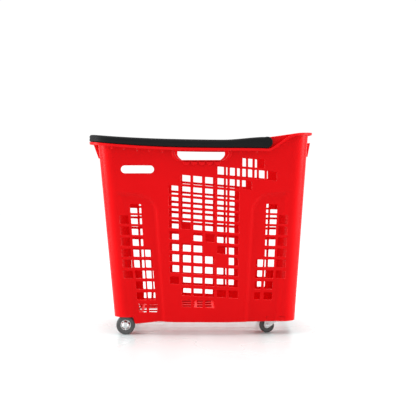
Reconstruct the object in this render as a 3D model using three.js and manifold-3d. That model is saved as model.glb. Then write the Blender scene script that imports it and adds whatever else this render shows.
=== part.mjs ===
// Rolling shopping basket, about 50 litres, millimetres, +Z up, +X towards the swivel casters.
// The origin is on the floor under the middle of the basket. Right is -Y and left is +Y.
import * as THREE from "three";
import { mergeGeometries, mergeVertices } from "three/addons/utils/BufferGeometryUtils.js";
import Module from "manifold-3d";

const wasm = await Module();
wasm.setup();

// ---------- driving dimensions ----------
const GAP = 0.3; // between pieces that touch

// The tub: outer faces at the datum height, and how far each wall leans out per mm of rise
const WALL = 3;
const DATUM_Z = 381;
const TUB = { rear: -230, front: 241, half: 168, corner: 32 };
const LEAN = { rear: 0.085, front: 0.062, side: 0.083 };
const FLOOR = { bottom: 47, top: 50 };
const TUB_LOW = 15; // the loft starts here and ends above the rim, and both ends are trimmed
const TUB_HIGH = 480;
const CORNER_STEPS = 5;

// The rim: a ledge that carries the handle, with a skirt, and an upright lip inside it
const FLANGE = { rear: 19.9, front: 9.1, side: 17.5, plate: 2.5, skirt: 6, low: 415 };
const LEDGE_POINTS = [
  [-257, 446], [-180, 439.5], [-90, 434.2], [0, 432], [90, 431.4], [140, 431], [158, 431.4],
  [180, 445.5], [198, 458.2], [213, 464.5], [232, 466.5], [257, 467],
];
const LIP_POINTS = [
  [-257, 460.5], [-160, 453.5], [-60, 449.4], [40, 449], [120, 452.5], [165, 458], [203, 463.5],
  [225, 466.5], [257, 467.5],
];
const SKIRT_POINTS = [
  [-260, 41], [-156, 41], [-153, 25], [-98, 31], [-60, 29.5], [60, 29], [140, 31], [200, 31.5], [260, 32.3],
];
const RIM_STEPS = 22;
const ARM_STEPS = 11;
const TURN_STEPS = 6;

// Holes in the long walls: columns of near-square windows
const COLUMN_PITCH = 28.4;
const FIRST_COLUMN_X = -64;
const ROW_PITCH = 26.05;
const FOURTH_ROW_Z = 336.5; // centre of row 4 at the first column
const MIDDLE_X = 10; // the columns draw together towards this x as they go down
const ROW_SHRINK = 0.004; // how much closer together each row's columns stand
const ROW_TILT = { top: 0.09, less: 0.004 }; // fall of a row per mm along it, and how much less per row
const MIDDLE_HOLE = { width: 22.5, height: 21, shorter: 0.3 }; // shorter: height lost per row
const MIDDLE_ROWS = [
  [7, 8], [5, 6, 7, 8, 9], [2, 3, 4, 5, 6, 7], [1, 2, 3, 4, 5, 6], [1, 2, 3, 4, 5, 6], [1, 2, 3, 4, 5, 6],
  [1, 2, 3, 4, 5, 6], [1, 3, 4, 5, 6], [1, 2, 3, 5, 6], [1, 2, 3, 4, 6], [1, 2, 3, 4, 5, 6],
  [1, 2, 3, 4, 5, 6], [2, 3, 4, 5, 6], [2, 3, 4],
];
const SIDE_ROWS = { topZ: 303.8, pitch: 25.6, height: 20.6, shorter: 0.4, tilt: 0.03 };
// On the left wall the columns behind the middle start higher, are spaced wider and stand further forward
const LEFT_REAR_ROWS = { topZ: 308.6, pitch: 26.6, height: 21.2, shorter: 0.2, tilt: 0.03 };
const LEFT_REAR_SHIFT = [4, 2]; // forward, at a column's first and last row
// Each column beside the middle: centre x at its first and last row, width there, and those rows
const SIDE_COLUMNS = [
  { x: [-175.8, -167.5], width: [20.5, 21], rows: [2, 7] },
  { x: [-149, -137], width: [25, 22], rows: [1, 9] },
  { x: [-120.5, -113.5], width: [15, 17], rows: [5, 9] },
  { x: [134.5, 130], width: [17, 14], rows: [6, 9] },
  { x: [162.5, 154.8], width: [25, 19.5], rows: [1, 9] },
  { x: [189, 183.5], width: [20, 21], rows: [2, 7] },
];
const LOW_PAIR = { x: [-134.5, -110], width: 18.5, bottom: 53, top: 72, tilt: 0.03, lean: 0.05 };

// Holes in the end walls and in the floor
const END_HOLES = {
  columns: 5, pitch: 36, width: 27, rows: 7, topZ: 370, rowPitch: 40, height: 31, shrink: 0.02,
};
const END_CUT_X = 150; // a cut through an end wall starts this far from the middle
const FLOOR_HOLES = { columns: 9, rows: 5, pitchX: 42, pitchY: 48, length: 36, width: 38, middleX: 9 };
const FITTINGS = { x: 130, y: 60 }; // no floor holes further out than both of these

// Hand opening in each long wall, with its raised frame
const HAND = { left: -59, right: 63, top: 428.5, bottom: 404.7, frame: 7.5, frameBelow: 2, proud: 4 };
const HAND_CORNER = { length: 12, height: 13.3, bendIn: 3, bendUp: 6.3 }; // slanting lower corners
const LABEL = { x: -144, z: 383.5, length: 75, height: 17.8, thickness: 0.8 };

// Hand opening in each end wall, with its frame, and a rib on either side that stands out further at its top
const END_HAND = { top: 437, bottom: 413, half: 54, frame: 5, outTop: 10.5, outBottom: 6 };
const RIB = { y: 99, thickness: 4 };
const REAR_RIB = { top: 443, bottom: 408, outTop: 15.3, outBottom: 5.7 };
const FRONT_RIB = { top: 444, bottom: 412, outTop: 10.3, outBottom: 6.3 };

// Pull handle: a U that lies on the ledge and turns about two pins near the casters
const HANDLE = {
  width: 14, rearDepth: 16, depth: 18, chamfer: 3, y: 182.5, rearX: -248.5, corner: 45, lift: 1,
};
const PIVOT = { x: 150, z: 445, boss: 12.5, bore: 5.3, boreDepth: 11, pin: 5, head: 9, headThickness: 3 };

// Rear wheels on one axle, and swivel casters in front
const REAR = { x: -174.5, y: 122, radius: 22, width: 20, hub: 12, axle: 4 };
const LUG = { outer: 104, inner: 34, thickness: 6, neck: 9, halfTop: 16 };
const SPOKES = { count: 5, angle: 0.35, boss: 1.2, rim: 1.1 }; // angle: radians taken by each spoke
const CASTER = { x: 173, y: 98, trail: 18, radius: 17.5, width: 16, hub: 7, axle: 2.9 };
const PAD = { length: 50, width: 48, bottom: 42 };
const PLATE = { length: 46, width: 44, thickness: 2.8 };
const FORK = { bridge: 2.6, leg: 2.3, clearance: 1.2, bridgeLength: 20, round: 6 };
const KINGPIN = { radius: 4, head: 7, headThickness: 1.8 };
const SCREW = { radius: 2, head: 4, headThickness: 1.6, inX: 17, inY: 16, length: 7 };
const HUB_INSET = 1.2; // how far a wheel centre lies inside its tyre's faces
const ROUND_STEPS = 24;
const SMALL_STEPS = 12;

// ---------- materials ----------
const plastic = (color, roughness) => new THREE.MeshStandardMaterial({ color, roughness, metalness: 0 });
const redPlastic = plastic(0xdc0f18, 0.38);
const blackPlastic = plastic(0x262626, 0.5);
const whitePlastic = plastic(0xf4f4f2, 0.4);
const greyPlastic = plastic(0xcfcfcd, 0.45);
const tyreRubber = plastic(0x3c3c3c, 0.75);
const zincSteel = new THREE.MeshStandardMaterial({ color: 0xb9bcc0, roughness: 0.35, metalness: 1 });

// ---------- solids ----------
function toSolid(geometry) {
  const bare = geometry.clone();
  bare.deleteAttribute("normal");
  bare.deleteAttribute("uv");
  const merged = mergeVertices(bare, 1e-4);
  return new wasm.Manifold(new wasm.Mesh({
    numProp: 3,
    vertProperties: new Float32Array(merged.attributes.position.array),
    triVerts: new Uint32Array(merged.index.array),
  }));
}

function toGeometry(solid) {
  const mesh = solid.getMesh();
  const geometry = new THREE.BufferGeometry();
  geometry.setAttribute("position", new THREE.BufferAttribute(new Float32Array(mesh.vertProperties), 3));
  geometry.setIndex(new THREE.BufferAttribute(new Uint32Array(mesh.triVerts), 1));
  return geometry;
}

const joinAll = (solids) => solids.reduce((whole, piece) => whole.add(piece));

// The same shape on the other side of the basket
function mirrorAcross(geometry) {
  const mirrored = mergeVertices(geometry.clone().deleteAttribute("normal").deleteAttribute("uv"), 1e-4);
  mirrored.scale(1, -1, 1);
  const index = mirrored.index.array;
  for (let i = 0; i < index.length; i += 3) {
    [index[i], index[i + 1]] = [index[i + 1], index[i]];
  }
  return mirrored;
}

// A closed surface through rings of the same number of points, with a fan over each end
function loft(rings) {
  const count = rings[0].length;
  const positions = rings.flat();
  const middle = (ring) => ring.reduce((sum, p) => sum.add(p), new THREE.Vector3()).divideScalar(count);
  const low = positions.push(middle(rings[0])) - 1;
  const high = positions.push(middle(rings[rings.length - 1])) - 1;
  const last = (rings.length - 1) * count;
  const index = [];
  for (let i = 0; i < count; i++) {
    const next = (i + 1) % count;
    index.push(low, next, i, high, last + i, last + next);
    for (let row = 0; row < last; row += count) {
      index.push(row + i, row + next, row + count + next);
      index.push(row + i, row + count + next, row + count + i);
    }
  }
  const geometry = new THREE.BufferGeometry().setFromPoints(positions);
  geometry.setIndex(index);
  return geometry;
}

// An outline in X and Z, pushed through the basket from yMin to yMax
function across(points, yMin, yMax) {
  const outline = new THREE.Shape(points.map(([x, z]) => new THREE.Vector2(x, z)));
  const geometry = new THREE.ExtrudeGeometry(outline, { depth: yMax - yMin, bevelEnabled: false });
  geometry.rotateX(Math.PI / 2);
  geometry.translate(0, yMax, 0);
  return geometry;
}

// A round bar along Y
function barAlongY(radius, x, z, yMin, yMax, steps = SMALL_STEPS) {
  const geometry = new THREE.CylinderGeometry(radius, radius, yMax - yMin, steps);
  geometry.translate(x, (yMin + yMax) / 2, z);
  return geometry;
}

function block(xMin, xMax, yMin, yMax, zMin, zMax) {
  const geometry = new THREE.BoxGeometry(xMax - xMin, yMax - yMin, zMax - zMin);
  geometry.translate((xMin + xMax) / 2, (yMin + yMax) / 2, (zMin + zMax) / 2);
  return geometry;
}

// ---------- the tub's walls ----------
const rearFace = (z) => TUB.rear - LEAN.rear * (z - DATUM_Z);
const frontFace = (z) => TUB.front + LEAN.front * (z - DATUM_Z);
const sideFace = (z) => TUB.half + LEAN.side * (z - DATUM_Z);

// The outline of the tub at one height, grown outward
function tubRing(z, rear, front, side) {
  const radius = TUB.corner + side;
  const left = rearFace(z) - rear + radius;
  const right = frontFace(z) + front - radius;
  const half = sideFace(z) + side - radius;
  const corners = [[right, half], [left, half], [left, -half], [right, -half]];
  return corners.flatMap(([x, y], quarter) => Array.from({ length: CORNER_STEPS + 1 }, (_, step) => {
    const angle = (quarter + step / CORNER_STEPS) * Math.PI / 2;
    return new THREE.Vector3(x + radius * Math.cos(angle), y + radius * Math.sin(angle), z);
  }));
}

function tub(zMin, zMax, rear = 0, front = 0, side = 0) {
  return toSolid(loft([tubRing(zMin, rear, front, side), tubRing(zMax, rear, front, side)]));
}

// A smooth line through hand-chosen points, sampled evenly along its length
function smoothLine(points) {
  const curve = new THREE.CatmullRomCurve3(points.map(([x, z]) => new THREE.Vector3(x, 0, z)));
  return curve.getSpacedPoints(RIM_STEPS).map((p) => [p.x, p.z]);
}

const ledgeLine = smoothLine(LEDGE_POINTS);
const lipLine = smoothLine(LIP_POINTS);
const HALF_SPAN = 300; // further than the basket reaches from its middle

// Everything between two copies of a line, moved down by two amounts, across the whole width
function band(line, downTop, downBottom) {
  const stretched = [[-HALF_SPAN, line[0][1]], ...line, [HALF_SPAN, line[line.length - 1][1]]];
  const upper = stretched.map(([x, z]) => [x, z - downTop]);
  const lower = stretched.map(([x, z]) => [x, z - downBottom]).reverse();
  return toSolid(across([...upper, ...lower], -HALF_SPAN, HALF_SPAN));
}

function heightOn(line, x) {
  const after = Math.max(1, line.findIndex((point) => point[0] >= x));
  const [x0, z0] = line[after - 1];
  const [x1, z1] = line[after];
  return z0 + (z1 - z0) * (x - x0) / (x1 - x0);
}

// ---------- holes ----------
// A four-sided hole that leans with its column, through the walls that lie between yMin and yMax
function sideHole(x, z, width, height, tilt, lean, yMin = -HALF_SPAN, yMax = HALF_SPAN) {
  const corner = (sx, sz) => [
    x + sx * width / 2 + lean * sz * height / 2,
    z + sz * height / 2 - tilt * sx * width / 2,
  ];
  return across([corner(-1, -1), corner(1, -1), corner(1, 1), corner(-1, 1)], yMin, yMax);
}

function middleHoles() {
  return MIDDLE_ROWS.flatMap((columns, row) => columns.map((column) => {
    const down = row - 3; // rows below the fourth
    const topX = FIRST_COLUMN_X + COLUMN_PITCH * (column - 1);
    const shrink = 1 - ROW_SHRINK * (row + 1);
    const x = MIDDLE_X + (topX - MIDDLE_X) * shrink;
    const tilt = ROW_TILT.top - ROW_TILT.less * Math.max(down, 0);
    const z = FOURTH_ROW_Z - ROW_PITCH * down - tilt * (x - FIRST_COLUMN_X);
    const height = MIDDLE_HOLE.height - MIDDLE_HOLE.shorter * row;
    return sideHole(x, z, MIDDLE_HOLE.width * shrink, height, tilt, 0);
  }));
}

// One column of holes beside the middle, through the walls that lie between yMin and yMax
function columnHoles({ x, width, rows: [first, last] }, rows, shift, yMin, yMax) {
  const lean = (x[0] - x[1]) / (rows.pitch * (last - first));
  return Array.from({ length: last - first + 1 }, (_, step) => {
    const part = step / (last - first);
    const above = first + step - 1; // rows above this one
    const height = rows.height - rows.shorter * above;
    const z = rows.topZ - rows.pitch * above - height / 2;
    const along = (pair) => THREE.MathUtils.lerp(...pair, part);
    return sideHole(along(x) + along(shift), z, along(width), height, rows.tilt, lean, yMin, yMax);
  });
}

function sideColumnHoles() {
  return SIDE_COLUMNS.flatMap((column) => {
    const behindMiddle = column.x[0] < 0;
    const right = columnHoles(column, SIDE_ROWS, [0, 0], -HALF_SPAN, 0);
    const left = behindMiddle
      ? columnHoles(column, LEFT_REAR_ROWS, LEFT_REAR_SHIFT, 0, HALF_SPAN)
      : columnHoles(column, SIDE_ROWS, [0, 0], 0, HALF_SPAN);
    return [...right, ...left];
  });
}

function lowPairHoles() {
  const { x, width, bottom, top, tilt, lean } = LOW_PAIR;
  return x.map((centre) => sideHole(centre, (bottom + top) / 2, width, top - bottom, tilt, lean));
}

function endHoles() {
  const { columns, pitch, width, rows, topZ, rowPitch, height, shrink: drawIn } = END_HOLES;
  const holes = [];
  for (let row = 0; row < rows; row++) {
    const z = topZ - rowPitch * row;
    const shrink = 1 - drawIn * row;
    for (let column = 0; column < columns; column++) {
      const y = (column - (columns - 1) / 2) * pitch * shrink;
      const reach = width * shrink / 2;
      const zMin = z - height / 2;
      const zMax = z + height / 2;
      holes.push(block(-HALF_SPAN, -END_CUT_X, y - reach, y + reach, zMin, zMax));
      holes.push(block(END_CUT_X, HALF_SPAN, y - reach, y + reach, zMin, zMax));
    }
  }
  return holes;
}

function floorHoles() {
  const { columns, rows, pitchX, pitchY, length, width, middleX } = FLOOR_HOLES;
  const low = FLOOR.bottom - WALL;
  const high = FLOOR.top + WALL;
  const holes = [];
  for (let column = 0; column < columns; column++) {
    for (let row = 0; row < rows; row++) {
      const x = middleX + (column - (columns - 1) / 2) * pitchX;
      const y = (row - (rows - 1) / 2) * pitchY;
      const overFittings = Math.abs(y) > FITTINGS.y && Math.abs(x) > FITTINGS.x;
      if (!overFittings) {
        holes.push(block(x - length / 2, x + length / 2, y - width / 2, y + width / 2, low, high));
      }
    }
  }
  return holes;
}

// ---------- details of the tub ----------
// Puts a shape drawn in X and Z, and pushed outward, on the right-hand long wall at height z
function onRightWall(geometry, z) {
  const up = new THREE.Vector3(0, -LEAN.side, 1).normalize();
  const out = new THREE.Vector3(0, -1, -LEAN.side).normalize();
  const place = new THREE.Matrix4().makeBasis(new THREE.Vector3(1, 0, 0), up, out);
  place.setPosition(0, -sideFace(z), z);
  return geometry.applyMatrix4(place);
}

// The hand opening's outline, grown to the sides and below, with slanting lower corners
function handOutline(grow, growBelow, middleZ) {
  const { length, height, bendIn, bendUp } = HAND_CORNER;
  const shape = new THREE.Shape();
  const low = HAND.bottom - growBelow - middleZ;
  const high = HAND.top + Math.min(grow, 1.5) - middleZ;
  const left = HAND.left - grow;
  const right = HAND.right + grow;
  shape.moveTo(left, high);
  shape.lineTo(left, low + height);
  shape.quadraticCurveTo(left + bendIn, low + bendUp, left + length, low);
  shape.lineTo(right - length, low);
  shape.quadraticCurveTo(right - bendIn, low + bendUp, right, low + height);
  shape.lineTo(right, high);
  return shape;
}

function handFrames() {
  const middleZ = (HAND.top + HAND.bottom) / 2;
  const depth = HAND.proud + 2;
  const frame = new THREE.ExtrudeGeometry(handOutline(HAND.frame, HAND.frameBelow, middleZ), {
    depth, bevelEnabled: false, curveSegments: 5,
  });
  frame.translate(0, 0, -2);
  onRightWall(frame, middleZ);
  return [frame, mirrorAcross(frame)];
}

function handCut() {
  const cut = new THREE.ExtrudeGeometry(handOutline(0, 0, 0), {
    depth: 2 * HALF_SPAN, bevelEnabled: false, curveSegments: 5,
  });
  cut.rotateX(Math.PI / 2);
  cut.translate(0, HALF_SPAN, 0);
  return cut;
}

// The raised frame of the hand opening in an end wall, which stands out further at its top
function endHandFrame(face, outward) {
  const { top, bottom, half, frame, outTop, outBottom } = END_HAND;
  const at = (z, out) => [face(z) + outward * out, z];
  const outline = [
    at(bottom - frame, -1), at(bottom - frame, outBottom), at(top + frame, outTop), at(top + frame, -1),
  ];
  return across(outline, -half - frame, half + frame);
}

// The two ribs beside that frame
function endRibs(face, outward, { top, bottom, outTop, outBottom }) {
  const at = (z, out) => [face(z) + outward * out, z];
  const outline = [at(bottom, -1), at(bottom, outBottom), at(top, outTop), at(top, -1)];
  return [-RIB.y, RIB.y].map((y) => across(outline, y - RIB.thickness / 2, y + RIB.thickness / 2));
}

function endHandCuts() {
  const { top, bottom, half } = END_HAND;
  const reaches = [[-HALF_SPAN, -END_CUT_X], [END_CUT_X, HALF_SPAN]];
  return reaches.map(([xMin, xMax]) => block(xMin, xMax, -half, half, bottom, top));
}

// Plates under the floor that hold the rear axle, with a bore
function axleLug(y) {
  const { x, axle, radius } = REAR;
  const shape = new THREE.Shape();
  shape.moveTo(x - LUG.halfTop, FLOOR.bottom + 1);
  shape.lineTo(x - LUG.neck, radius);
  shape.absarc(x, radius, LUG.neck, Math.PI, 2 * Math.PI, false);
  shape.lineTo(x + LUG.halfTop, FLOOR.bottom + 1);
  const bore = new THREE.Path();
  bore.absarc(x, radius, axle + GAP, 0, 2 * Math.PI, true);
  shape.holes.push(bore);
  const geometry = new THREE.ExtrudeGeometry(shape, {
    depth: LUG.thickness, bevelEnabled: false, curveSegments: 7,
  });
  geometry.rotateX(Math.PI / 2);
  geometry.translate(0, y + LUG.thickness / 2, 0);
  return geometry;
}

function basketBody() {
  const outside = tub(TUB_LOW, TUB_HIGH);
  const inside = tub(FLOOR.top, TUB_HIGH + 5, -WALL, -WALL, -WALL);
  const under = tub(TUB_LOW - 5, FLOOR.bottom, -WALL, -WALL, -WALL);
  const aboveLip = band(lipLine, -60, 0);
  const belowSkirt = band(SKIRT_POINTS, 0, 60);
  const walls = outside.subtract(inside).subtract(under).subtract(aboveLip).subtract(belowSkirt);

  const { rear, front, side, plate, skirt, low } = FLANGE;
  const flange = tub(low, TUB_HIGH, rear, front, side).intersect(band(ledgeLine, 0, skirt));
  const hollow = tub(low, TUB_HIGH, rear - plate, front - plate, side - plate)
    .intersect(band(ledgeLine, plate, skirt + 5))
    .subtract(outside);
  const handleRim = flange.subtract(inside).subtract(hollow);

  const additions = [
    ...handFrames(),
    endHandFrame(rearFace, -1),
    endHandFrame(frontFace, 1),
    ...endRibs(rearFace, -1, REAR_RIB),
    ...endRibs(frontFace, 1, FRONT_RIB),
    ...[-LUG.outer, -LUG.inner, LUG.inner, LUG.outer].map(axleLug),
    ...[-1, 1].map((side) => block(
      CASTER.x - PAD.length / 2, CASTER.x + PAD.length / 2,
      side * CASTER.y - PAD.width / 2, side * CASTER.y + PAD.width / 2, PAD.bottom, FLOOR.bottom + 1,
    )),
  ];
  const whole = joinAll([walls, handleRim, ...additions.map((piece) => toSolid(piece).subtract(inside))]);

  const pinHole = PIVOT.pin + GAP;
  const screwHoles = screwPlaces().map(([x, y]) => {
    const hole = new THREE.CylinderGeometry(SCREW.radius + GAP, SCREW.radius + GAP, SCREW.length, 6);
    hole.rotateX(Math.PI / 2);
    hole.translate(x, y, PAD.bottom + SCREW.length / 2 - 1);
    return hole;
  });
  const cuts = [
    ...middleHoles(), ...sideColumnHoles(), ...lowPairHoles(), ...endHoles(), ...floorHoles(), handCut(),
    ...endHandCuts(),
    barAlongY(pinHole, PIVOT.x, PIVOT.z, -HALF_SPAN, HALF_SPAN),
    ...screwHoles,
  ];
  const bare = cuts.map((cut) => cut.deleteAttribute("normal").deleteAttribute("uv"));
  const separate = bare.map((cut) => mergeVertices(cut, 1e-4));
  return toGeometry(whole.subtract(toSolid(mergeGeometries(separate))));
}

// ---------- the pull handle ----------
// Half the handle's height, which grows along its arms and again towards its pins
function handleHalfDepth(x) {
  const { lerp, smoothstep } = THREE.MathUtils;
  const arm = lerp(HANDLE.rearDepth / 2, HANDLE.depth / 2, smoothstep(x, HANDLE.rearX, -HANDLE.corner));
  return lerp(arm, PIVOT.boss, smoothstep(x, PIVOT.x - 100, PIVOT.x));
}

function handleRoute() {
  const { y, rearX, corner } = HANDLE;
  const arm = Array.from({ length: ARM_STEPS }, (_, step) => {
    return [THREE.MathUtils.lerp(PIVOT.x, rearX + corner, step / ARM_STEPS), -y];
  });
  const turn = Array.from({ length: TURN_STEPS + 1 }, (_, step) => {
    const angle = step / TURN_STEPS * Math.PI / 2;
    return [rearX + corner - corner * Math.sin(angle), corner - y - corner * Math.cos(angle)];
  });
  const half = [...arm, ...turn];
  const otherHalf = half.map(([px, py]) => [px, -py]).reverse();
  return [...half, ...otherHalf].map(([px, py]) => {
    return new THREE.Vector3(px, py, heightOn(ledgeLine, px) + HANDLE.lift + handleHalfDepth(px));
  });
}

// The handle's section, a box with cut corners, held upright along the route
function handleSweep() {
  const route = handleRoute();
  const halfWidth = HANDLE.width / 2;
  const { chamfer } = HANDLE;
  const section = (halfDepth) => [
    [halfWidth, halfDepth - chamfer], [halfWidth - chamfer, halfDepth],
    [chamfer - halfWidth, halfDepth], [-halfWidth, halfDepth - chamfer],
    [-halfWidth, chamfer - halfDepth], [chamfer - halfWidth, -halfDepth],
    [halfWidth - chamfer, -halfDepth], [halfWidth, chamfer - halfDepth],
  ];
  const up = new THREE.Vector3(0, 0, 1);
  const rings = route.map((point, i) => {
    const before = route[Math.max(i - 1, 0)];
    const after = route[Math.min(i + 1, route.length - 1)];
    const side = after.clone().sub(before).setZ(0).normalize().cross(up);
    return section(handleHalfDepth(point.x)).map(([out, rise]) => {
      return point.clone().addScaledVector(side, -out).addScaledVector(up, rise);
    });
  });
  return loft(rings);
}

function pullHandle() {
  const { x, z, boss, bore, boreDepth } = PIVOT;
  const inner = HANDLE.y - HANDLE.width / 2;
  const outer = HANDLE.y + HANDLE.width / 2;
  const bosses = [[inner, outer], [-outer, -inner]].map(([yMin, yMax]) => {
    return barAlongY(boss, x, z, yMin, yMax, ROUND_STEPS);
  });
  const bores = [
    barAlongY(bore, x, z, inner - 1, inner + boreDepth),
    barAlongY(bore, x, z, -inner - boreDepth, 1 - inner),
  ];
  const solid = joinAll([handleSweep(), ...bosses].map(toSolid));
  return toGeometry(solid.subtract(joinAll(bores.map(toSolid))));
}

// A shouldered pin from inside the tub, through its lip and into the handle's boss
function pivotPin() {
  const { x, z, pin, head, headThickness, boreDepth } = PIVOT;
  const innerFace = sideFace(z + head) - WALL - 2 * LEAN.side * head - GAP;
  const tip = HANDLE.y - HANDLE.width / 2 + boreDepth - GAP - 0.5;
  const headEnd = barAlongY(head, x, z, innerFace - headThickness, innerFace, 20);
  const shank = barAlongY(pin, x, z, innerFace - 1, tip);
  return toGeometry(toSolid(headEnd).add(toSolid(shank)));
}

// ---------- label ----------
function labelPlate() {
  const reach = LABEL.height / 2;
  const straight = LABEL.length / 2 - reach;
  const pill = new THREE.Shape();
  pill.absarc(LABEL.x + straight, 0, reach, -Math.PI / 2, Math.PI / 2, false);
  pill.absarc(LABEL.x - straight, 0, reach, Math.PI / 2, 1.5 * Math.PI, false);
  const plate = new THREE.ExtrudeGeometry(pill, {
    depth: LABEL.thickness, bevelEnabled: false, curveSegments: 6,
  });
  plate.translate(0, 0, GAP);
  return onRightWall(plate, LABEL.z);
}

// ---------- wheels ----------
// A tyre with rounded shoulders, turned about Y at the origin
function tyre(radius, hubRadius, width) {
  const half = width / 2;
  const inner = hubRadius + GAP;
  const profile = [
    [inner, -half + 1], [radius - 4, -half], [radius - 1.2, -half * 0.68], [radius, -half * 0.3],
    [radius, half * 0.3], [radius - 1.2, half * 0.68], [radius - 4, half], [inner, half - 1],
    [inner, -half + 1],
  ];
  return new THREE.LatheGeometry(profile.map(([r, y]) => new THREE.Vector2(r, y)), ROUND_STEPS);
}

// A wheel centre with a bore and, when it has spokes, windows between them; one spoke points down
function hub(radius, width, bore, spokes) {
  const outline = new THREE.Shape();
  outline.absarc(0, 0, radius, 0, 2 * Math.PI, false);
  const middle = new THREE.Path();
  middle.absarc(0, 0, bore, 0, 2 * Math.PI, true);
  outline.holes.push(middle);
  const pitch = 2 * Math.PI / Math.max(spokes, 1);
  for (let i = 0; i < spokes; i++) {
    const start = i * pitch - Math.PI / 2 + SPOKES.angle / 2;
    const end = start + pitch - SPOKES.angle;
    const window = new THREE.Path();
    window.absarc(0, 0, radius - SPOKES.rim, start, end, false);
    window.absarc(0, 0, bore + SPOKES.boss, end, start, true);
    outline.holes.push(window);
  }
  const depth = width - 2 * HUB_INSET;
  const geometry = new THREE.ExtrudeGeometry(outline, {
    depth, bevelEnabled: false, curveSegments: spokes ? 4 : 10,
  });
  geometry.translate(0, 0, -depth / 2);
  geometry.rotateX(Math.PI / 2);
  return geometry;
}

function axleCap() {
  const { axle, radius, y, width, x } = REAR;
  const start = y + width / 2 + 0.4;
  const outside = barAlongY(axle + 3, x, radius, start, start + 4, 18);
  const socket = barAlongY(axle + GAP, x, radius, start - 1, start + 2.8);
  return toGeometry(toSolid(outside).subtract(toSolid(socket)));
}

// ---------- caster ----------
// Caster pieces are drawn about their own kingpin at x = 0, y = 0, at their real heights
const plateBottom = PAD.bottom - GAP - PLATE.thickness;
const bearingBottom = plateBottom - GAP - 1.4;
const bridgeTop = bearingBottom - GAP;
const bridgeBottom = bridgeTop - FORK.bridge;

function screwPlaces() {
  return [-1, 1].flatMap((side) => [-1, 1].flatMap((sx) => [-1, 1].map((sy) => [
    CASTER.x + sx * SCREW.inX, side * CASTER.y + sy * SCREW.inY,
  ])));
}

function disc(radius, zMin, zMax, steps = ROUND_STEPS) {
  const geometry = new THREE.CylinderGeometry(radius, radius, zMax - zMin, steps);
  geometry.rotateX(Math.PI / 2);
  geometry.translate(0, 0, (zMin + zMax) / 2);
  return geometry;
}

const atKingpinHole = () => toSolid(disc(KINGPIN.radius + GAP, 20, 45, SMALL_STEPS));

function casterPlate() {
  const { length, width, thickness } = PLATE;
  const plateTop = plateBottom + thickness;
  const plate = toSolid(block(-length / 2, length / 2, -width / 2, width / 2, plateBottom, plateTop));
  const holes = [-1, 1].flatMap((sx) => [-1, 1].map((sy) => {
    const hole = disc(SCREW.radius + GAP, 30, 45, 6);
    return toSolid(hole.translate(sx * SCREW.inX, sy * SCREW.inY, 0));
  }));
  return toGeometry(plate.subtract(atKingpinHole()).subtract(joinAll(holes)));
}

function casterBearing() {
  return toGeometry(toSolid(disc(11.5, bearingBottom, plateBottom - GAP, 24)).subtract(atKingpinHole()));
}

function kingpin() {
  const head = disc(KINGPIN.head, bridgeBottom - GAP - KINGPIN.headThickness, bridgeBottom - GAP, 20);
  const shank = disc(KINGPIN.radius, bridgeBottom - GAP - 1, PAD.bottom - GAP, SMALL_STEPS);
  return toGeometry(toSolid(head).add(toSolid(shank)));
}

// The fork: a bridge with two legs that reach back to the wheel's axle
function casterFork() {
  const { radius, trail, width, axle } = CASTER;
  const inner = width / 2 + FORK.clearance;
  const outer = inner + FORK.leg;
  const leg = new THREE.Shape();
  leg.moveTo(FORK.bridgeLength / 2, bridgeTop);
  leg.lineTo(-trail, bridgeTop);
  leg.quadraticCurveTo(-trail - FORK.round, bridgeTop, -trail - FORK.round, radius);
  leg.absarc(-trail, radius, FORK.round, Math.PI, 1.75 * Math.PI, false);
  leg.quadraticCurveTo(-2, radius + 3, FORK.bridgeLength / 2, bridgeBottom - 1);
  const hole = new THREE.Path();
  hole.absarc(-trail, radius, axle + GAP, 0, 2 * Math.PI, true);
  leg.holes.push(hole);
  const legs = [inner, -outer].map((start) => {
    const geometry = new THREE.ExtrudeGeometry(leg, {
      depth: FORK.leg, bevelEnabled: false, curveSegments: 4,
    });
    geometry.rotateX(Math.PI / 2);
    return geometry.translate(0, start + FORK.leg, 0);
  });
  const reach = FORK.bridgeLength / 2;
  const bridge = block(-reach, reach, -outer, outer, bridgeBottom, bridgeTop);
  return toGeometry(joinAll([bridge, ...legs].map(toSolid)).subtract(atKingpinHole()));
}

function casterAxle() {
  const { width, axle } = CASTER;
  const outer = width / 2 + FORK.clearance + FORK.leg + GAP;
  const end = outer + 1.5;
  const rod = barAlongY(axle, 0, 0, -outer - 0.5, outer + 0.5);
  const heads = [[outer, end], [-end, -outer]].map(([yMin, yMax]) => barAlongY(axle + 1.8, 0, 0, yMin, yMax));
  return toGeometry(joinAll([rod, ...heads].map(toSolid)));
}

function screw() {
  const under = plateBottom - GAP;
  const head = disc(SCREW.head, under - SCREW.headThickness, under, 8);
  const shank = disc(SCREW.radius, under - 0.5, under + SCREW.length - 0.5, 6);
  return toGeometry(toSolid(head).add(toSolid(shank)));
}

// ---------- assembly ----------
const basket = new THREE.Group();

function addPiece(name, geometry, material, x = 0, y = 0, z = 0) {
  const mesh = new THREE.Mesh(geometry, material);
  mesh.name = name;
  mesh.position.set(x, y, z);
  basket.add(mesh);
}

function addPair(name, geometry, material) {
  addPiece(`${name}_left`, geometry, material);
  addPiece(`${name}_right`, mirrorAcross(geometry), material);
}

addPiece("basket_body", basketBody(), redPlastic);
addPiece("pull_handle", pullHandle(), blackPlastic);
addPair("handle_pivot_pin", pivotPin(), redPlastic);
addPair("label_plate", mirrorAcross(labelPlate()), whitePlastic);

const axleEnd = REAR.y + REAR.width / 2 + 2.8;
addPiece("rear_axle", barAlongY(REAR.axle, REAR.x, REAR.radius, -axleEnd, axleEnd, 16), zincSteel);
addPair("rear_axle_cap", axleCap(), zincSteel);

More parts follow.
